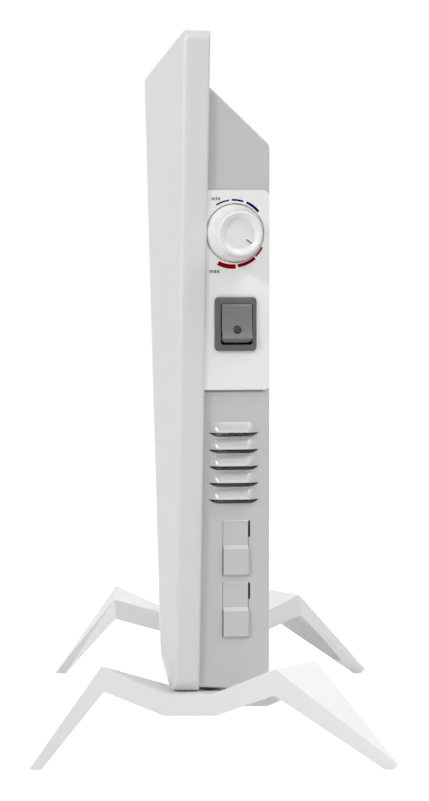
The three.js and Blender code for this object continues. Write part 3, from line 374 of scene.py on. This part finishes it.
def makeFrontPanel():
    half = (panelHigh.x - panelLow.x) / 2
    low, high = panelLow.z - pan["drop"] * mm, panelHigh.z
    bm = bmesh.new()
    corners = ((-half, low), (half, low), (half, high), (-half, high))
    verts = [bm.verts.new((middleX + x, 0, z)) for x, z in corners]
    bm.faces.new(verts)
    bmesh.ops.bevel(bm, geom=verts, offset=pan["corner"] * mm, offset_type="OFFSET", segments=cornerSteps,
                    profile=0.5, affect="VERTICES", material=-1)
    for vert in bm.verts:
        vert.co.y = leaning(pan["rear"], vert.co.z)
    rings = []
    inset = (0.0, 0.0)
    for side, lower, plane in ((0.0, 0.0, "crease"), (pan["bevel"], pan["lowerBevel"], "face")):
        made = bmesh.ops.extrude_face_region(bm, geom=[front] if rings else bm.faces[:])
        front = next(item for item in made["geom"] if isinstance(item, bmesh.types.BMFace))
        wide = (half - side * mm) / (half - inset[0] * mm)
        tall = (high - side * mm - low - lower * mm) / (high - inset[0] * mm - low - inset[1] * mm)
        for vert in vertsOf(made):
            vert.co.x = middleX + (vert.co.x - middleX) * wide
            vert.co.z = low + lower * mm + (vert.co.z - low - inset[1] * mm) * tall
            vert.co.y = leaning(pan[plane], vert.co.z)
            if plane == "crease":
                toe = max(0.0, 1 - (vert.co.z - low) / (pan["toe"][0] * mm))
                vert.co.y -= toe * pan["toe"][1] * mm
        rings.append(list(front.edges))
        inset = (side, lower)
    outlines = [face for face in bm.faces if len(face.verts) > 4]     # the front and any behind it
    outlines.sort(key=lambda face: face.calc_center_median().y)
    bmesh.ops.delete(bm, geom=outlines[1:], context="FACES_ONLY")   # the pan stays open at the back
    reachIn, radius = pan["roll"]
    mouth = [edge for edge in bm.edges if edge.is_boundary]
    made = bmesh.ops.extrude_edge_only(bm, edges=mouth)
    smaller = (1 - reachIn * mm / half, 1, 1 - 2 * reachIn * mm / (high - low))
    bmesh.ops.scale(bm, vec=smaller, verts=vertsOf(made),
                    space=Matrix.Translation((-middleX, 0, -(low + high) / 2)))
    sizes = (pan["creaseRound"], pan["faceRound"], radius)
    for ring, size in zip(rings + [mouth], sizes):
        bmesh.ops.bevel(bm, geom=ring, offset=size * mm, offset_type="OFFSET", segments=foldSteps, profile=0.5,
                        affect="EDGES", material=-1)
    outward(bm, (0, -1, 0))
    piece = finished("frontPanel", bm, "heater", "white_enamel", ["front_panel"])
    sheet = piece.modifiers.new("sheet", "SOLIDIFY")
    sheet.thickness = pan["sheet"] * mm
    sheet.offset = -1
    piece.modifiers.move(1, 0)
    width, degrees = pan["rim"]
    rim = piece.modifiers.new("rim", "BEVEL")
    rim.width = width * mm
    rim.segments = 2
    rim.angle_limit = math.radians(degrees)
    piece.modifiers.move(2, 1)


makeFrontPanel()
print("front panel made")


# thermostat knob

knob = {
    "lift": 2.2,           # height of the profile's zero above the wall
    "dish": (9.4, 17.6),   # radius and height of the flat inside the rim
    "dishRound": 0.1,
    "step": (0.05, 0.55),  # the short steep wall round the flat, before the rim's slope
    "crest": (12.5, 19.2, 1.1),     # the rim's top: radius and height of its centre, and its own radius
    "crestArc": (128, 12, 14),      # where that arc starts and ends, in degrees, and its steps
    "side": ((13.7, 17.4), (14.1, 14.5), (14.8, 9.5), (15.9, 4.6), (16.9, 1.6), (17.45, -0.2)),
    "base": (17.45, -1.5),
    "hollow": ((15, -1.5), (12.8, 15), (10.6, 16.1), (0, 16.1)),
    "turns": 112,
    "pointer": 128.0,               # degrees clockwise from the top, at rest
    "rib": (5.4, 10.0, 1.6),        # the raised pointer: from, to and width
    "ribHeights": (-0.5, 1.1),      # from the dish
    "ribEdge": 0.25,
    "line": (5.4, 9.5, 0.6),        # painted shadow: a dark strip beside it, where the pointer's shadow falls
    "shadowHeights": (-0.3, 0.3),
    "shadowEdge": 0.08,
}


def makeKnob():
    radius, floorX = knob["dish"]
    soft = knob["dishRound"]
    stepOut, stepUp = knob["step"]
    outer = [(0, floorX), (radius - soft, floorX), (radius, floorX + soft), (radius + stepOut, floorX + stepUp)]
    outer += arc(knob["crest"][:2], knob["crest"][2], *knob["crestArc"])
    outer += list(knob["side"]) + [knob["base"]]
    profile = [(distance, height + knob["lift"]) for distance, height in outer + list(knob["hollow"])]
    cap = revolved(profile, knob["turns"])
    finished("knobCap", placed(cap, knobPlace), "knob", "knob_plastic", ["thermostat_knob"])
    base = knob["lift"] + floorX
    turned = knobPlace @ Matrix.Rotation(math.radians(-knob["pointer"]), 4, "X")
    near, far, width = knob["rib"]
    low, high = knob["ribHeights"]
    rib = block(((base + low) * mm, -width * mm, near * mm), ((base + high) * mm, 0, far * mm))
    finished("knobPointer", placed(rib, turned), "knob", "knob_plastic", (), knob["ribEdge"] * mm)
    # the dark strip beside the raised pointer is painted shadow, made in the grey ink finish
    near, far, width = knob["line"]
    low, high = knob["shadowHeights"]
    line = block(((base + low) * mm, 0, near * mm), ((base + high) * mm, width * mm, far * mm))
    finished("pointerPaintedShadow", placed(line, turned), "knob", "ink_grey", (), knob["shadowEdge"] * mm, 2)


makeKnob()
print("knob made")


# control plate and its print

plate = {
    "radii": (0.6, 3.0, 4.6, 0.6),   # lower front, lower rear, upper rear, upper front
    "grow": (0.6, 0.8),              # how far it reaches past the CAD plate, rearwards and up
    "back": 0.3,                     # its rear face stands this far off the wall
    "edge": 0.8,
    "window": (10, 11.6, 15.0),      # half the opening for the switch: depth, width and height
    "hole": (7.6, 9),                # the opening for the spindle: radius and half its depth
    "recess": (18.05, 0.5),          # round the knob: its radius, and its floor above the wall
    "turns": 96,
}
plateLow, plateHigh = reach("control_plate", knobPlace)


def switchWindow():  # cuts the switch's opening through the plate and the wall
    centre = knobPlace.inverted() @ switchPlace.translation
    centre.x = 0
    half = Vector(plate["window"]) * mm
    return block(centre - half, centre + half)


def makePlate():
    back = plate["back"] * mm
    rearward, upward = plate["grow"]
    bm = roundedFace((plateLow.y, plateLow.z), (plateHigh.y + rearward * mm, plateHigh.z + upward * mm),
                     [radius * mm for radius in plate["radii"]], back)
    thicken(bm, plateHigh.x - back)
    radius, floorX = plate["recess"]
    narrow, deep = plate["hole"]
    steps = [(0, -deep), (narrow, -deep), (narrow, floorX), (radius, floorX), (radius, deep), (0, deep)]
    bm = carved(bm, merged(switchWindow(), revolved(steps, plate["turns"])))
    placed(bm, knobPlace)
    finished("controlPlate", bm, "heater", "plate_plastic", ["control_plate"], plate["edge"] * mm, 4)


dial = {
    "inner": 19.2,             # radius of the arcs' inner side
    "depth": 0.06,
    "arcSteps": 24,
    "cold": ((-31.8, -7.7, 0.9), (-2.6, 18.0, 1.1), (24.0, 50.9, 1.5)),       # start, end, width
    "hot": ((116.6, 136.6, 1.2), (139.0, 171.8, 2.0), (175.9, 207.0, 2.7)),
    "shift": (-1.0, 0.3),      # of the print's centre from the knob's: rearwards and up
    "textSize": 3.35,
    "bold": 0.07,
    "textSteps": 3,            # segments in each curve of a letter
    "letterGap": 1.15,
    "weld": 0.001,             # points of a letter nearer than this become one
    "words": (("min", -11.7, 19.9), ("max", -12.5, -23.9)),     # their places from the knob's axis
}


def dialArc(start, end, width):  # a flat bar bent round the knob, angles clockwise from the top
    bm = bmesh.new()
    low = bm.verts.new((0, 0, dial["inner"] * mm))
    high = bm.verts.new((0, 0, (dial["inner"] + width) * mm))
    edge = bm.edges.new((low, high))
    placed(bm, Matrix.Rotation(math.radians(-start), 4, "X"))
    bmesh.ops.spin(bm, geom=[low, high, edge], cent=(0, 0, 0), axis=(1, 0, 0), angle=math.radians(start - end),
                   steps=dial["arcSteps"], use_merge=False, use_duplicate=False)
    return bm


def printedArcs(name, arcs, finish):
    bm = bmesh.new()
    for start, end, width in arcs:
        merged(bm, thicken(dialArc(start, end, width), dial["depth"] * mm))
    rearward, upward = dial["shift"]
    bmesh.ops.translate(bm, vec=(plateHigh.x, rearward * mm, upward * mm), verts=bm.verts)
    finished(name, placed(bm, knobPlace), "heater", finish)


def printedWord(word, y, z):
    data = bpy.data.curves.new(word, "FONT")
    data.body = word
    data.size = dial["textSize"] * mm
    data.align_x = "CENTER"
    data.extrude = dial["depth"] / 2 * mm
    data.offset = dial["bold"] * mm
    data.resolution_u = dial["textSteps"]
    data.space_character = dial["letterGap"]
    text = linked(bpy.data.objects.new(word, data))
    bpy.context.view_layer.update()
    ready = text.evaluated_get(bpy.context.evaluated_depsgraph_get())
    bm = bmesh.new()
    bm.from_mesh(ready.to_mesh())
    ready.to_mesh_clear()
    bpy.data.objects.remove(text)
    stand = Matrix(((0, 0, 1, 0), (1, 0, 0, 0), (0, 1, 0, 0), (0, 0, 0, 1)))     # turns flat text upright
    placed(bm, Matrix.Translation((plateHigh.x + dial["depth"] / 2 * mm, y * mm, z * mm)) @ stand)
    bmesh.ops.remove_doubles(bm, verts=bm.verts, dist=dial["weld"] * mm)
    bmesh.ops.recalc_face_normals(bm, faces=bm.faces)
    finished("word_" + word, placed(bm, knobPlace), "heater", "ink_grey")


makePlate()
printedArcs("coldArcs", dial["cold"], "ink_blue")
printedArcs("hotArcs", dial["hot"], "ink_red")
for word in dial["words"]:
    printedWord(*word)
print("control plate made")


# rocker switch

switch = {
    "frame": 2.6,                  # the frame's thickness
    "corner": 2.4,
    "frameEdge": 0.5,
    "land": 0.4,                   # the level strip outside the frame's sloping border
    "dome": (2.6, 0.8),            # width and height of that border
    "well": (9.7, 12.5),           # half the well's opening
    "wellCorner": 1.6,
    "wellDepth": (-15.6, 20),      # from and to, measured from the rocker's pivot
    "wellShift": 0.55,             # the well and the rocker sit a little to the rear in the frame
    "raised": 0.5,                 # the frame sits this much higher than the CAD housing
    "barrel": (11.2, 14.6),        # half the barrel's width and height
    "barrelLap": 0.4,              # how far it reaches into the frame
    "barrelEdge": 0.3,
}


def makeSwitchFrame():
    low, high = reach("switch_housing", switchPlace)
    seat = high.x - switch["frame"] * mm
    rim = roundedFace((low.y, low.z), (high.y, high.z), [switch["corner"] * mm] * 4, seat)
    width, height = switch["dome"]
    thicken(rim, high.x - height * mm - seat)
    top = max(rim.faces, key=lambda face: face.calc_center_median().x)
    land = switch["land"] * mm
    bmesh.ops.inset_region(rim, faces=[top], thickness=land, depth=0, use_even_offset=True)
    narrower = [(high[axis] - width * mm) / (high[axis] - land) for axis in (1, 2)]
    bmesh.ops.scale(rim, vec=[1] + narrower, verts=top.verts)
    bmesh.ops.translate(rim, vec=(height * mm, 0, 0), verts=top.verts)
    halfY, halfZ = [half * mm for half in switch["barrel"]]
    barrel = block((low.x, -halfY, -halfZ), (seat + switch["barrelLap"] * mm, halfY, halfZ))
    halfY, halfZ = [half * mm for half in switch["well"]]
    floorX, topX = [place * mm for place in switch["wellDepth"]]
    well = roundedFace((-halfY, -halfZ), (halfY, halfZ), [switch["wellCorner"] * mm] * 4, topX)
    thicken(well, floorX - topX)
    bmesh.ops.translate(well, vec=(0, switch["wellShift"] * mm, 0), verts=well.verts)
    bm = carved(rim, well.copy())
    barrel = carved(barrel, well)
    bmesh.ops.translate(bm, vec=(0, 0, switch["raised"] * mm), verts=bm.verts)
    placed(bm, switchPlace)
    finished("switchFrame", bm, "heater", "bezel_plastic", ["switch_housing"], switch["frameEdge"] * mm, 4)
    placed(barrel, switchPlace)
    finished("switchBarrel", barrel, "heater", "black_nylon", (), switch["barrelEdge"] * mm, 2)


rocker = {
    "low": -11.5,
    "high": 12.1,
    "halfWidth": 9.15,
    "face": (-9.3, 10.4, 9.9),     # from, to, and how far out its ends are
    "hollow": (0.8, 10),           # the finger hollow's depth, and the flats it is made of
    "behind": ((9.5, 11.4), (8.4, 12.2), (-3, 12.2), (-4.6, 6), (-4.6, -6), (-3, -11.6), (5.0, -11.6)),
    "blank": 20,                   # half the width of the bar it is cut from
    "cut": (-10, 30),              # the outline that cuts it: where it starts and how deep it is
    "corners": (2.5, 1.7),         # radius of the lower and of the upper ones
    "edge": (0.45, 25),            # its rounding, and the degrees it turns at least
    "flat": 1,                     # faces that meet at less than this many degrees become one
    "pocket": (2.45, 7, 12),       # the lens's seat: its radius, floor and top
    "pocketTurns": 48,
}
lens = {
    "drop": 4.0,                   # below the pivot
    "radius": 2.3,
    "profile": ((0, 7.4), (1, 7.4), (1, 9.35), (0.72, 9.95), (0.35, 10.25), (0, 10.3)),    # share of it, height
    "sides": 10,
    "edge": 0.12,
}


def makeRocker():
    bm = bmesh.new()
    start, end, front = rocker["face"]
    depth, flats = rocker["hollow"]
    profile = []
    for step in range(flats + 1):
        share = step / flats
        profile.append((front - depth * (1 - (2 * share - 1) ** 2), start + (end - start) * share))
    blank = rocker["blank"] * mm
    bm.faces.new([bm.verts.new((x * mm, -blank, z * mm)) for x, z in profile + list(rocker["behind"])])
    thicken(bm, 2 * blank, 1)
    lower, upper = [radius * mm for radius in rocker["corners"]]
    halfY = rocker["halfWidth"] * mm
    cutX, cutDepth = [place * mm for place in rocker["cut"]]
    outline = roundedFace((-halfY, rocker["low"] * mm), (halfY, rocker["high"] * mm),
                          (lower, lower, upper, upper), cutX)
    bm = carved(bm, thicken(outline, cutDepth), "INTERSECT")
    radius, floorX, topX = rocker["pocket"]
    pocket = revolved([(0, floorX), (radius, floorX), (radius, topX), (0, topX)], rocker["pocketTurns"])
    bmesh.ops.translate(pocket, vec=(0, 0, -lens["drop"] * mm), verts=pocket.verts)
    bm = carved(bm, pocket)
    bmesh.ops.dissolve_limit(bm, angle_limit=math.radians(rocker["flat"]), verts=bm.verts, edges=bm.edges)
    bmesh.ops.translate(bm, vec=(0, switch["wellShift"] * mm, 0), verts=bm.verts)
    placed(bm, rockerPlace)
    edge, degrees = rocker["edge"]
    finished("rocker", bm, "rocker", "rocker_plastic", ["switch_rocker"], edge * mm, angle=degrees)


def makeLens():  # a small cut jewel
    bm = revolved([(share * lens["radius"], height) for share, height in lens["profile"]], lens["sides"])
    bmesh.ops.translate(bm, vec=(0, switch["wellShift"] * mm, -lens["drop"] * mm), verts=bm.verts)
    placed(bm, rockerPlace)
    finished("lens", bm, "rocker", "lens_plastic", ["indicator_lens"], lens["edge"] * mm, 2, 8)


makeSwitchFrame()
makeRocker()
makeLens()
print("switch made")


# end walls with louvres and lances

wall = {
    "outline": ((-13, 48.9), (2, 48.3), (12, 47.4), (31.2, 47.7), (33.5, 49.8),     # y and z, from the foot
                (33.5, 375.5), (32.9, 378.4), (31.2, 380.3), (-13, 422.9)),         # round the back to the top
    "halfLength": 224.4,             # from the heater's middle to the outer surface where y is 0
    "fold": 9.8,
    "sheet": 1.2,
    "round": (1.5, 4),               # radius and segments of the folds
    "edge": 0.4,
    "cut": 4,                        # half the depth of the cuts through the sheet
    "spindle": (4.4, 9, 32),         # the spindle's hole: its radius, half its depth and its steps
    "plateGap": (1.4, 1, 3),         # the joint under the plate: below and above its edge, short of its rear
    "ledge": (-2.3, -1.1),           # the sheet behind that joint: from and to
    "ledgePast": (3, 1, 2),          # its reach below and above, past the front, and short of the rear
}
louvre = {
    "first": -120.9,      # lip of the top louvre, below the knob's axis
    "pitch": -10.17,
    "count": 5,
    "across": -0.3,
    "halfLength": 15.3,
    "rise": 6.6,
    "bulge": 3.9,
    "grid": (48, 16),
    "lipRow": -0.8,       # where the lip is on that grid, which runs from -1 to 1
    "ends": 0.98,         # the share of the half length where the ends have run out
    "shoulder": 0.42,     # the share of it over which each end rises
    "fall": 1.25,         # the power by which the hood runs out above its lip
    "sink": 0.15,         # how far below the surface it ends
    "thickness": 0.9,
    "scoop": 2.7,         # how far the opening reaches below the lip
    "flat": 0.8,          # the share of it that reaches so far
    "opening": 0.55,      # how far it reaches above the lip, as a share of the rise
    "taper": 2.5,         # how much shorter it is up there, at each end
    "scoopRound": 2.4,
    "proud": 0.4,         # how far out its cutter starts
    "throat": 0.6,
    "squeeze": 0.1,       # the inner end's height, as a share of the outer end's
    "depth": 3.2,
    "past": 0.8,          # how much deeper its cutter goes
    "tray": ((-0.5, -0.7), (-0.5, 0.9)),     # outward and up, from the opening's lower side
    "trayEnd": (0.3, -1.1),                  # up, from the throat
    "trayLonger": 0.4,
}
lance = {
    "tops": (-174.6, -212.4),
    "length": 33.8,
    "across": 0.9,
    "halfWidth": 7.7,
    "slit": 0.3,
    "openSlit": (1.3, 10.0, 0.05),   # the wider gap beside the upper half: width, end and start below the top
    "sheet": 0.9,
    "path": ((-0.3, 0.5), (0.35, -0.3), (0.1, -1.2), (-0.05, -2.2), (-0.1, -14.9), (1.9, -17.2), (1.9, -32.6),
             (0.3, -33.1), (-0.3, -34.0)),   # outward and up, from the upper root
}


def makeHood(lip):  # a pressed louvre, highest at its straight lip and running out into the wall
    bm = bmesh.new()
    columns, rows = louvre["grid"]
    bmesh.ops.create_grid(bm, x_segments=columns, y_segments=rows, size=1)
    for vert in bm.verts:
        share, up = vert.co.x, (vert.co.y - louvre["lipRow"]) / (1 - louvre["lipRow"])
        rise = min(1.0, max(0.0, (louvre["ends"] - abs(share)) / louvre["shoulder"]))
        dome = rise * rise * (3 - 2 * rise)
        fall = max(0.0, 1 - max(0.0, up) ** louvre["fall"])
        height = louvre["bulge"] * dome * fall - louvre["sink"]
        vert.co = (height * mm, (louvre["across"] + share * louvre["halfLength"]) * mm,
                   (lip + up * louvre["rise"]) * mm)
    outward(bm, (1, 0, 0))
    bmesh.ops.solidify(bm, geom=bm.faces[:], thickness=louvre["thickness"] * mm)
    made = bmesh.ops.bisect_plane(bm, geom=bm.verts[:] + bm.edges[:] + bm.faces[:], dist=1e-7,
                                  plane_co=(0, 0, lip * mm), plane_no=(0, 0, -1), clear_outer=True)
    cut = [item for item in made["geom_cut"] if isinstance(item, bmesh.types.BMEdge)]
    bmesh.ops.contextual_create(bm, geom=cut)
    bmesh.ops.recalc_face_normals(bm, faces=bm.faces)
    return bm


def hoodSlot(lip):  # the opening in the wall under a louvre, its lower side running in and up
    bm = bmesh.new()
    span = louvre["halfLength"]
    flat, taper = span * louvre["flat"], louvre["taper"]
    low, high = lip - louvre["scoop"], lip + louvre["rise"] * louvre["opening"]
    corners = ((-span, lip), (-flat, low), (flat, low), (span, lip), (span - taper, high), (taper - span, high))
    verts = [bm.verts.new((louvre["proud"] * mm, (louvre["across"] + y) * mm, z * mm)) for y, z in corners]
    bm.faces.new(verts)
    bmesh.ops.bevel(bm, geom=verts[1:3], offset=louvre["scoopRound"] * mm, offset_type="OFFSET",
                    segments=foldSteps, profile=0.5, affect="VERTICES", material=-1)
    thicken(bm, -(louvre["depth"] + louvre["past"]) * mm)
    for vert in bm.verts:
        if vert.co.x < 0 and vert.co.z < lip * mm + hair:     # the lower side's inner end
            vert.co.z = (lip - louvre["throat"]) * mm + (vert.co.z - lip * mm) * louvre["squeeze"]
    return bm


def hoodTray(lip):  # the sheet pressed in below the opening
    bm = bmesh.new()
    low, throat = lip - louvre["scoop"], lip - louvre["throat"]
    profile = [(x, low + up) for x, up in louvre["tray"]]
    profile += [(-louvre["depth"], throat + up) for up in louvre["trayEnd"]]
    half = louvre["halfLength"] + louvre["trayLonger"]
    bm.faces.new([bm.verts.new((x * mm, (louvre["across"] - half) * mm, z * mm)) for x, z in profile])
    return thicken(bm, 2 * half * mm, 1)


def makeStrip(top):  # a lanced strip, its upper half level with the wall and its lower half pressed out
    bm = bmesh.new()
    side = lance["across"] - lance["halfWidth"]
    verts = [bm.verts.new((x * mm, side * mm, (top + z) * mm)) for x, z in lance["path"]]
    edges = [bm.edges.new(pair) for pair in zip(verts, verts[1:])]
    made = bmesh.ops.extrude_edge_only(bm, edges=edges)
    bmesh.ops.translate(bm, vec=(0, 2 * lance["halfWidth"] * mm, 0), verts=vertsOf(made))
    outward(bm, (1, 0, 0))
    bmesh.ops.solidify(bm, geom=bm.faces[:], thickness=lance["sheet"] * mm)
    return bm


def wallSheet():  # the drafted end with its folded edges, open towards the front panel
    bm = bmesh.new()
    slope = wallNormal.y / wallNormal.x
    verts = []
    for y, z in wall["outline"]:
        verts.append(bm.verts.new((middleX + (wall["halfLength"] - y * slope) * mm, y * mm, z * mm)))
    face = bm.faces.new(verts)
    frontY = wall["outline"][0][0] * mm + hair
    folded = [edge for edge in face.edges if max(vert.co.y for vert in edge.verts) > frontY]
    made = bmesh.ops.extrude_edge_only(bm, edges=folded)
    bmesh.ops.translate(bm, vec=(-wall["fold"] * mm, 0, 0), verts=vertsOf(made))
    radius, steps = wall["round"]
    bmesh.ops.bevel(bm, geom=folded, offset=radius * mm, offset_type="OFFSET", segments=steps, profile=0.5,
                    affect="EDGES", material=-1)
    outward(bm, (1, 0, 0))
    bmesh.ops.solidify(bm, geom=bm.faces[:], thickness=wall["sheet"] * mm)
    return bm


def controlCuts(cutter):  # adds what only the right wall has, and returns the cuts that overlap these
    gaps = bmesh.new()
    depth = wall["cut"] * mm
    middle, half = lance["across"], lance["halfWidth"]
    width = half + lance["slit"]
    gap, length, start = lance["openSlit"]
    for top in lance["tops"]:
        merged(cutter, block((-depth, (middle - width) * mm, (top - lance["length"]) * mm),
                             (depth, (middle + width) * mm, top * mm)))
        merged(gaps, block((-depth, (middle + half) * mm, (top - length) * mm),
                           (depth, (middle + half + gap) * mm, (top - start) * mm)))
    merged(cutter, switchWindow())
    radius, reachX, steps = wall["spindle"]
    merged(cutter, revolved([(0, -reachX), (radius, -reachX), (radius, reachX), (0, reachX)], steps))
    below, above, short = [size * mm for size in wall["plateGap"]]
    merged(cutter, block((-depth, plateLow.y, plateLow.z - below),
                         (depth, plateHigh.y - short, plateLow.z + above)))
    return gaps


def controlDetails(details):  # adds the lanced strips and the sheet behind the joint
    for top in lance["tops"]:
        merged(details, makeStrip(top))
    back, front = [place * mm for place in wall["ledge"]]
    tall, past, short = [size * mm for size in wall["ledgePast"]]
    merged(details, block((back, plateLow.y - past, plateLow.z - tall),
                          (front, plateHigh.y - short, plateLow.z + tall)))


def makeWall(name, node, mirror):
    lips = [louvre["first"] + louvre["pitch"] * item for item in range(louvre["count"])]
    cutter = bmesh.new()
    details = bmesh.new()
    for lip in lips:
        merged(cutter, hoodSlot(lip))
        merged(details, makeHood(lip))
        merged(details, carved(hoodTray(lip), hoodSlot(lip)))
    if mirror:
        bm = carved(wallSheet(), placed(cutter, knobPlace))
    else:
        gaps = controlCuts(cutter)
        controlDetails(details)
        bm = carved(wallSheet(), placed(cutter, knobPlace))
        bm = carved(bm, placed(gaps, knobPlace))
    merged(bm, placed(details, knobPlace))
    if mirror:
        placed(bm, Matrix.Translation((2 * middleX, 0, 0)) @ Matrix.Scale(-1, 4, (1, 0, 0)))
        bmesh.ops.reverse_faces(bm, faces=bm.faces)
    finished(name, bm, "heater", "grey_enamel", [node], wall["edge"] * mm)


makeWall("endWallRight", "side_panel_right", False)
makeWall("endWallLeft", "side_panel_left", True)
print("end walls made")


# feet

foot = {
    "weld": 0.02,          # CAD vertices nearer than this become one
    "flat": 0.6,           # CAD faces that meet at less than this many degrees become one
    "edge": (0.8, 20),     # its rounding, and the degrees it turns at least
}


def makeFoot(node):  # the CAD shape, its edges rounded
    bm = bmesh.new()
    bm.from_mesh(frame["nodes"][node].data)
    bmesh.ops.remove_doubles(bm, verts=bm.verts, dist=foot["weld"] * mm)
    bmesh.ops.dissolve_limit(bm, angle_limit=math.radians(foot["flat"]), verts=bm.verts, edges=bm.edges)
    edge, degrees = foot["edge"]
    finished(node + "_soft", bm, "heater", "foot_enamel", [node], edge * mm, angle=degrees)


for side in ("right", "left"):
    makeFoot("foot_" + side)
print("feet made")


# rear screws

screw = {
    "profile": ((0, -5), (1.1, -5), (1.1, -1.4), (2.5, -0.15), (2.4, 0), (1.25, 0.08), (0, 0.1)),
    "turns": 32,
    "cross": (1.5, 0.28),        # half the length and half the width of each arm of the recess
    "crossDepth": (-0.9, 1),     # from and to, measured like the profile's heights from the wall
}


def makeScrew(node):  # stands in the end wall's rear face
    low, high = reach(node)
    bm = revolved(screw["profile"], screw["turns"])
    length, width = [size * mm for size in screw["cross"]]
    floorX, topX = [height * mm for height in screw["crossDepth"]]
    for across, along in ((length, width), (width, length)):
        bm = carved(bm, block((floorX, -across, -along), (topX, across, along)))
    rearY = max(y for y, z in wall["outline"]) * mm
    seat = placeAt(Vector(((low.x + high.x) / 2, rearY, (low.z + high.z) / 2)), Vector((0, 1, 0)))
    finished(node + "_flush", placed(bm, seat), "heater", "zinc_steel", [node])


for side in ("right", "left"):
    for end in ("upper", "lower"):
        makeScrew("casing_screw_" + side + "_" + end)
print("rear screws made")


# light and floor

light = {
    "ambient": 0.15,       # the white room, as it lights the heater
    "floorSize": 30,
    "floorTone": 0.82,     # the floor, as it lights the heater
    "floorShade": 0.4,     # the same as it is seen: how much shadow shows
    "floorGlow": 0.945,    # and how bright it is in the shade
    "lamps": (      # name, place, aim, size, watts
        ("key", (1.97, -1.76, 1.8), (0.1, 0, 0.25), 0.45, 24.0),
        ("front", (0.9, -2.6, 0.9), (0.1, 0, 0.25), 1.2, 20.5),
        ("rear", (0.6, 1.9, 1.9), (0.1, 0, 0.25), 0.7, 7.0),
        ("high", (2.3, 0.5, 2.0), (0.1, 0, 0.25), 1.0, 12.0),
        ("top", (0.9, 1.0, 2.5), (0.1, 0, 0.25), 0.8, 17.5),
        ("back", (-1.2, 0.6, 2.0), (-0.1, 0, 0.25), 1.0, 32.0),
    ),
}


def seenDirectly(tree):  # 1 for camera, glossy and transmission rays
    path = tree.nodes.new("ShaderNodeLightPath")
    first = tree.nodes.new("ShaderNodeMath")
    first.operation = "MAXIMUM"
    tree.links.new(path.outputs["Is Camera Ray"], first.inputs[0])
    tree.links.new(path.outputs["Is Glossy Ray"], first.inputs[1])
    second = tree.nodes.new("ShaderNodeMath")
    second.operation = "MAXIMUM"
    tree.links.new(first.outputs[0], second.inputs[0])
    tree.links.new(path.outputs["Is Transmission Ray"], second.inputs[1])
    return second.outputs[0]


def makeWorld():
    world = bpy.data.worlds.new("studio")
    world.use_nodes = True
    tree = world.node_tree
    tree.nodes.clear()
    room = tree.nodes.new("ShaderNodeBackground")
    room.inputs["Strength"].default_value = light["ambient"]
    white = tree.nodes.new("ShaderNodeBackground")
    for background in (room, white):
        background.inputs["Color"].default_value = (1, 1, 1, 1)
    mix = tree.nodes.new("ShaderNodeMixShader")
    output = tree.nodes.new("ShaderNodeOutputWorld")
    tree.links.new(seenDirectly(tree), mix.inputs["Fac"])
    tree.links.new(room.outputs[0], mix.inputs[1])
    tree.links.new(white.outputs[0], mix.inputs[2])
    tree.links.new(mix.outputs[0], output.inputs["Surface"])
    bpy.context.scene.world = world


def makeFloor():
    bm = bmesh.new()
    bmesh.ops.create_grid(bm, x_segments=1, y_segments=1, size=light["floorSize"])
    floor = asObject("floor", bm)
    material = bpy.data.materials.new("floor")
    material.use_nodes = True
    tree = material.node_tree
    tree.nodes.clear()
    plain = tree.nodes.new("ShaderNodeBsdfDiffuse")
    plain.inputs["Color"].default_value = (light["floorTone"],) * 3 + (1,)
    shaded = tree.nodes.new("ShaderNodeBsdfDiffuse")
    shaded.inputs["Color"].default_value = (light["floorShade"],) * 3 + (1,)
    glow = tree.nodes.new("ShaderNodeEmission")
    glow.inputs["Strength"].default_value = light["floorGlow"]
    both = tree.nodes.new("ShaderNodeAddShader")
    tree.links.new(shaded.outputs[0], both.inputs[0])
    tree.links.new(glow.outputs[0], both.inputs[1])
    mix = tree.nodes.new("ShaderNodeMixShader")
    output = tree.nodes.new("ShaderNodeOutputMaterial")
    tree.links.new(seenDirectly(tree), mix.inputs["Fac"])
    tree.links.new(plain.outputs[0], mix.inputs[1])
    tree.links.new(both.outputs[0], mix.inputs[2])
    tree.links.new(mix.outputs[0], output.inputs["Surface"])
    floor.data.materials.append(material)


def makeLamps():
    for name, spot, aim, size, watts in light["lamps"]:
        data = bpy.data.lights.new(name, "AREA")
        data.shape = "SQUARE"
        data.size = size
        data.energy = watts
        lamp = linked(bpy.data.objects.new(name, data))
        lamp.location = spot
        lamp.rotation_mode = "QUATERNION"
        lamp.rotation_quaternion = (Vector(aim) - Vector(spot)).to_track_quat("-Z", "Y")


makeWorld()
makeFloor()
makeLamps()
bpy.context.scene.view_settings.view_transform = "Standard"
print("studio made")
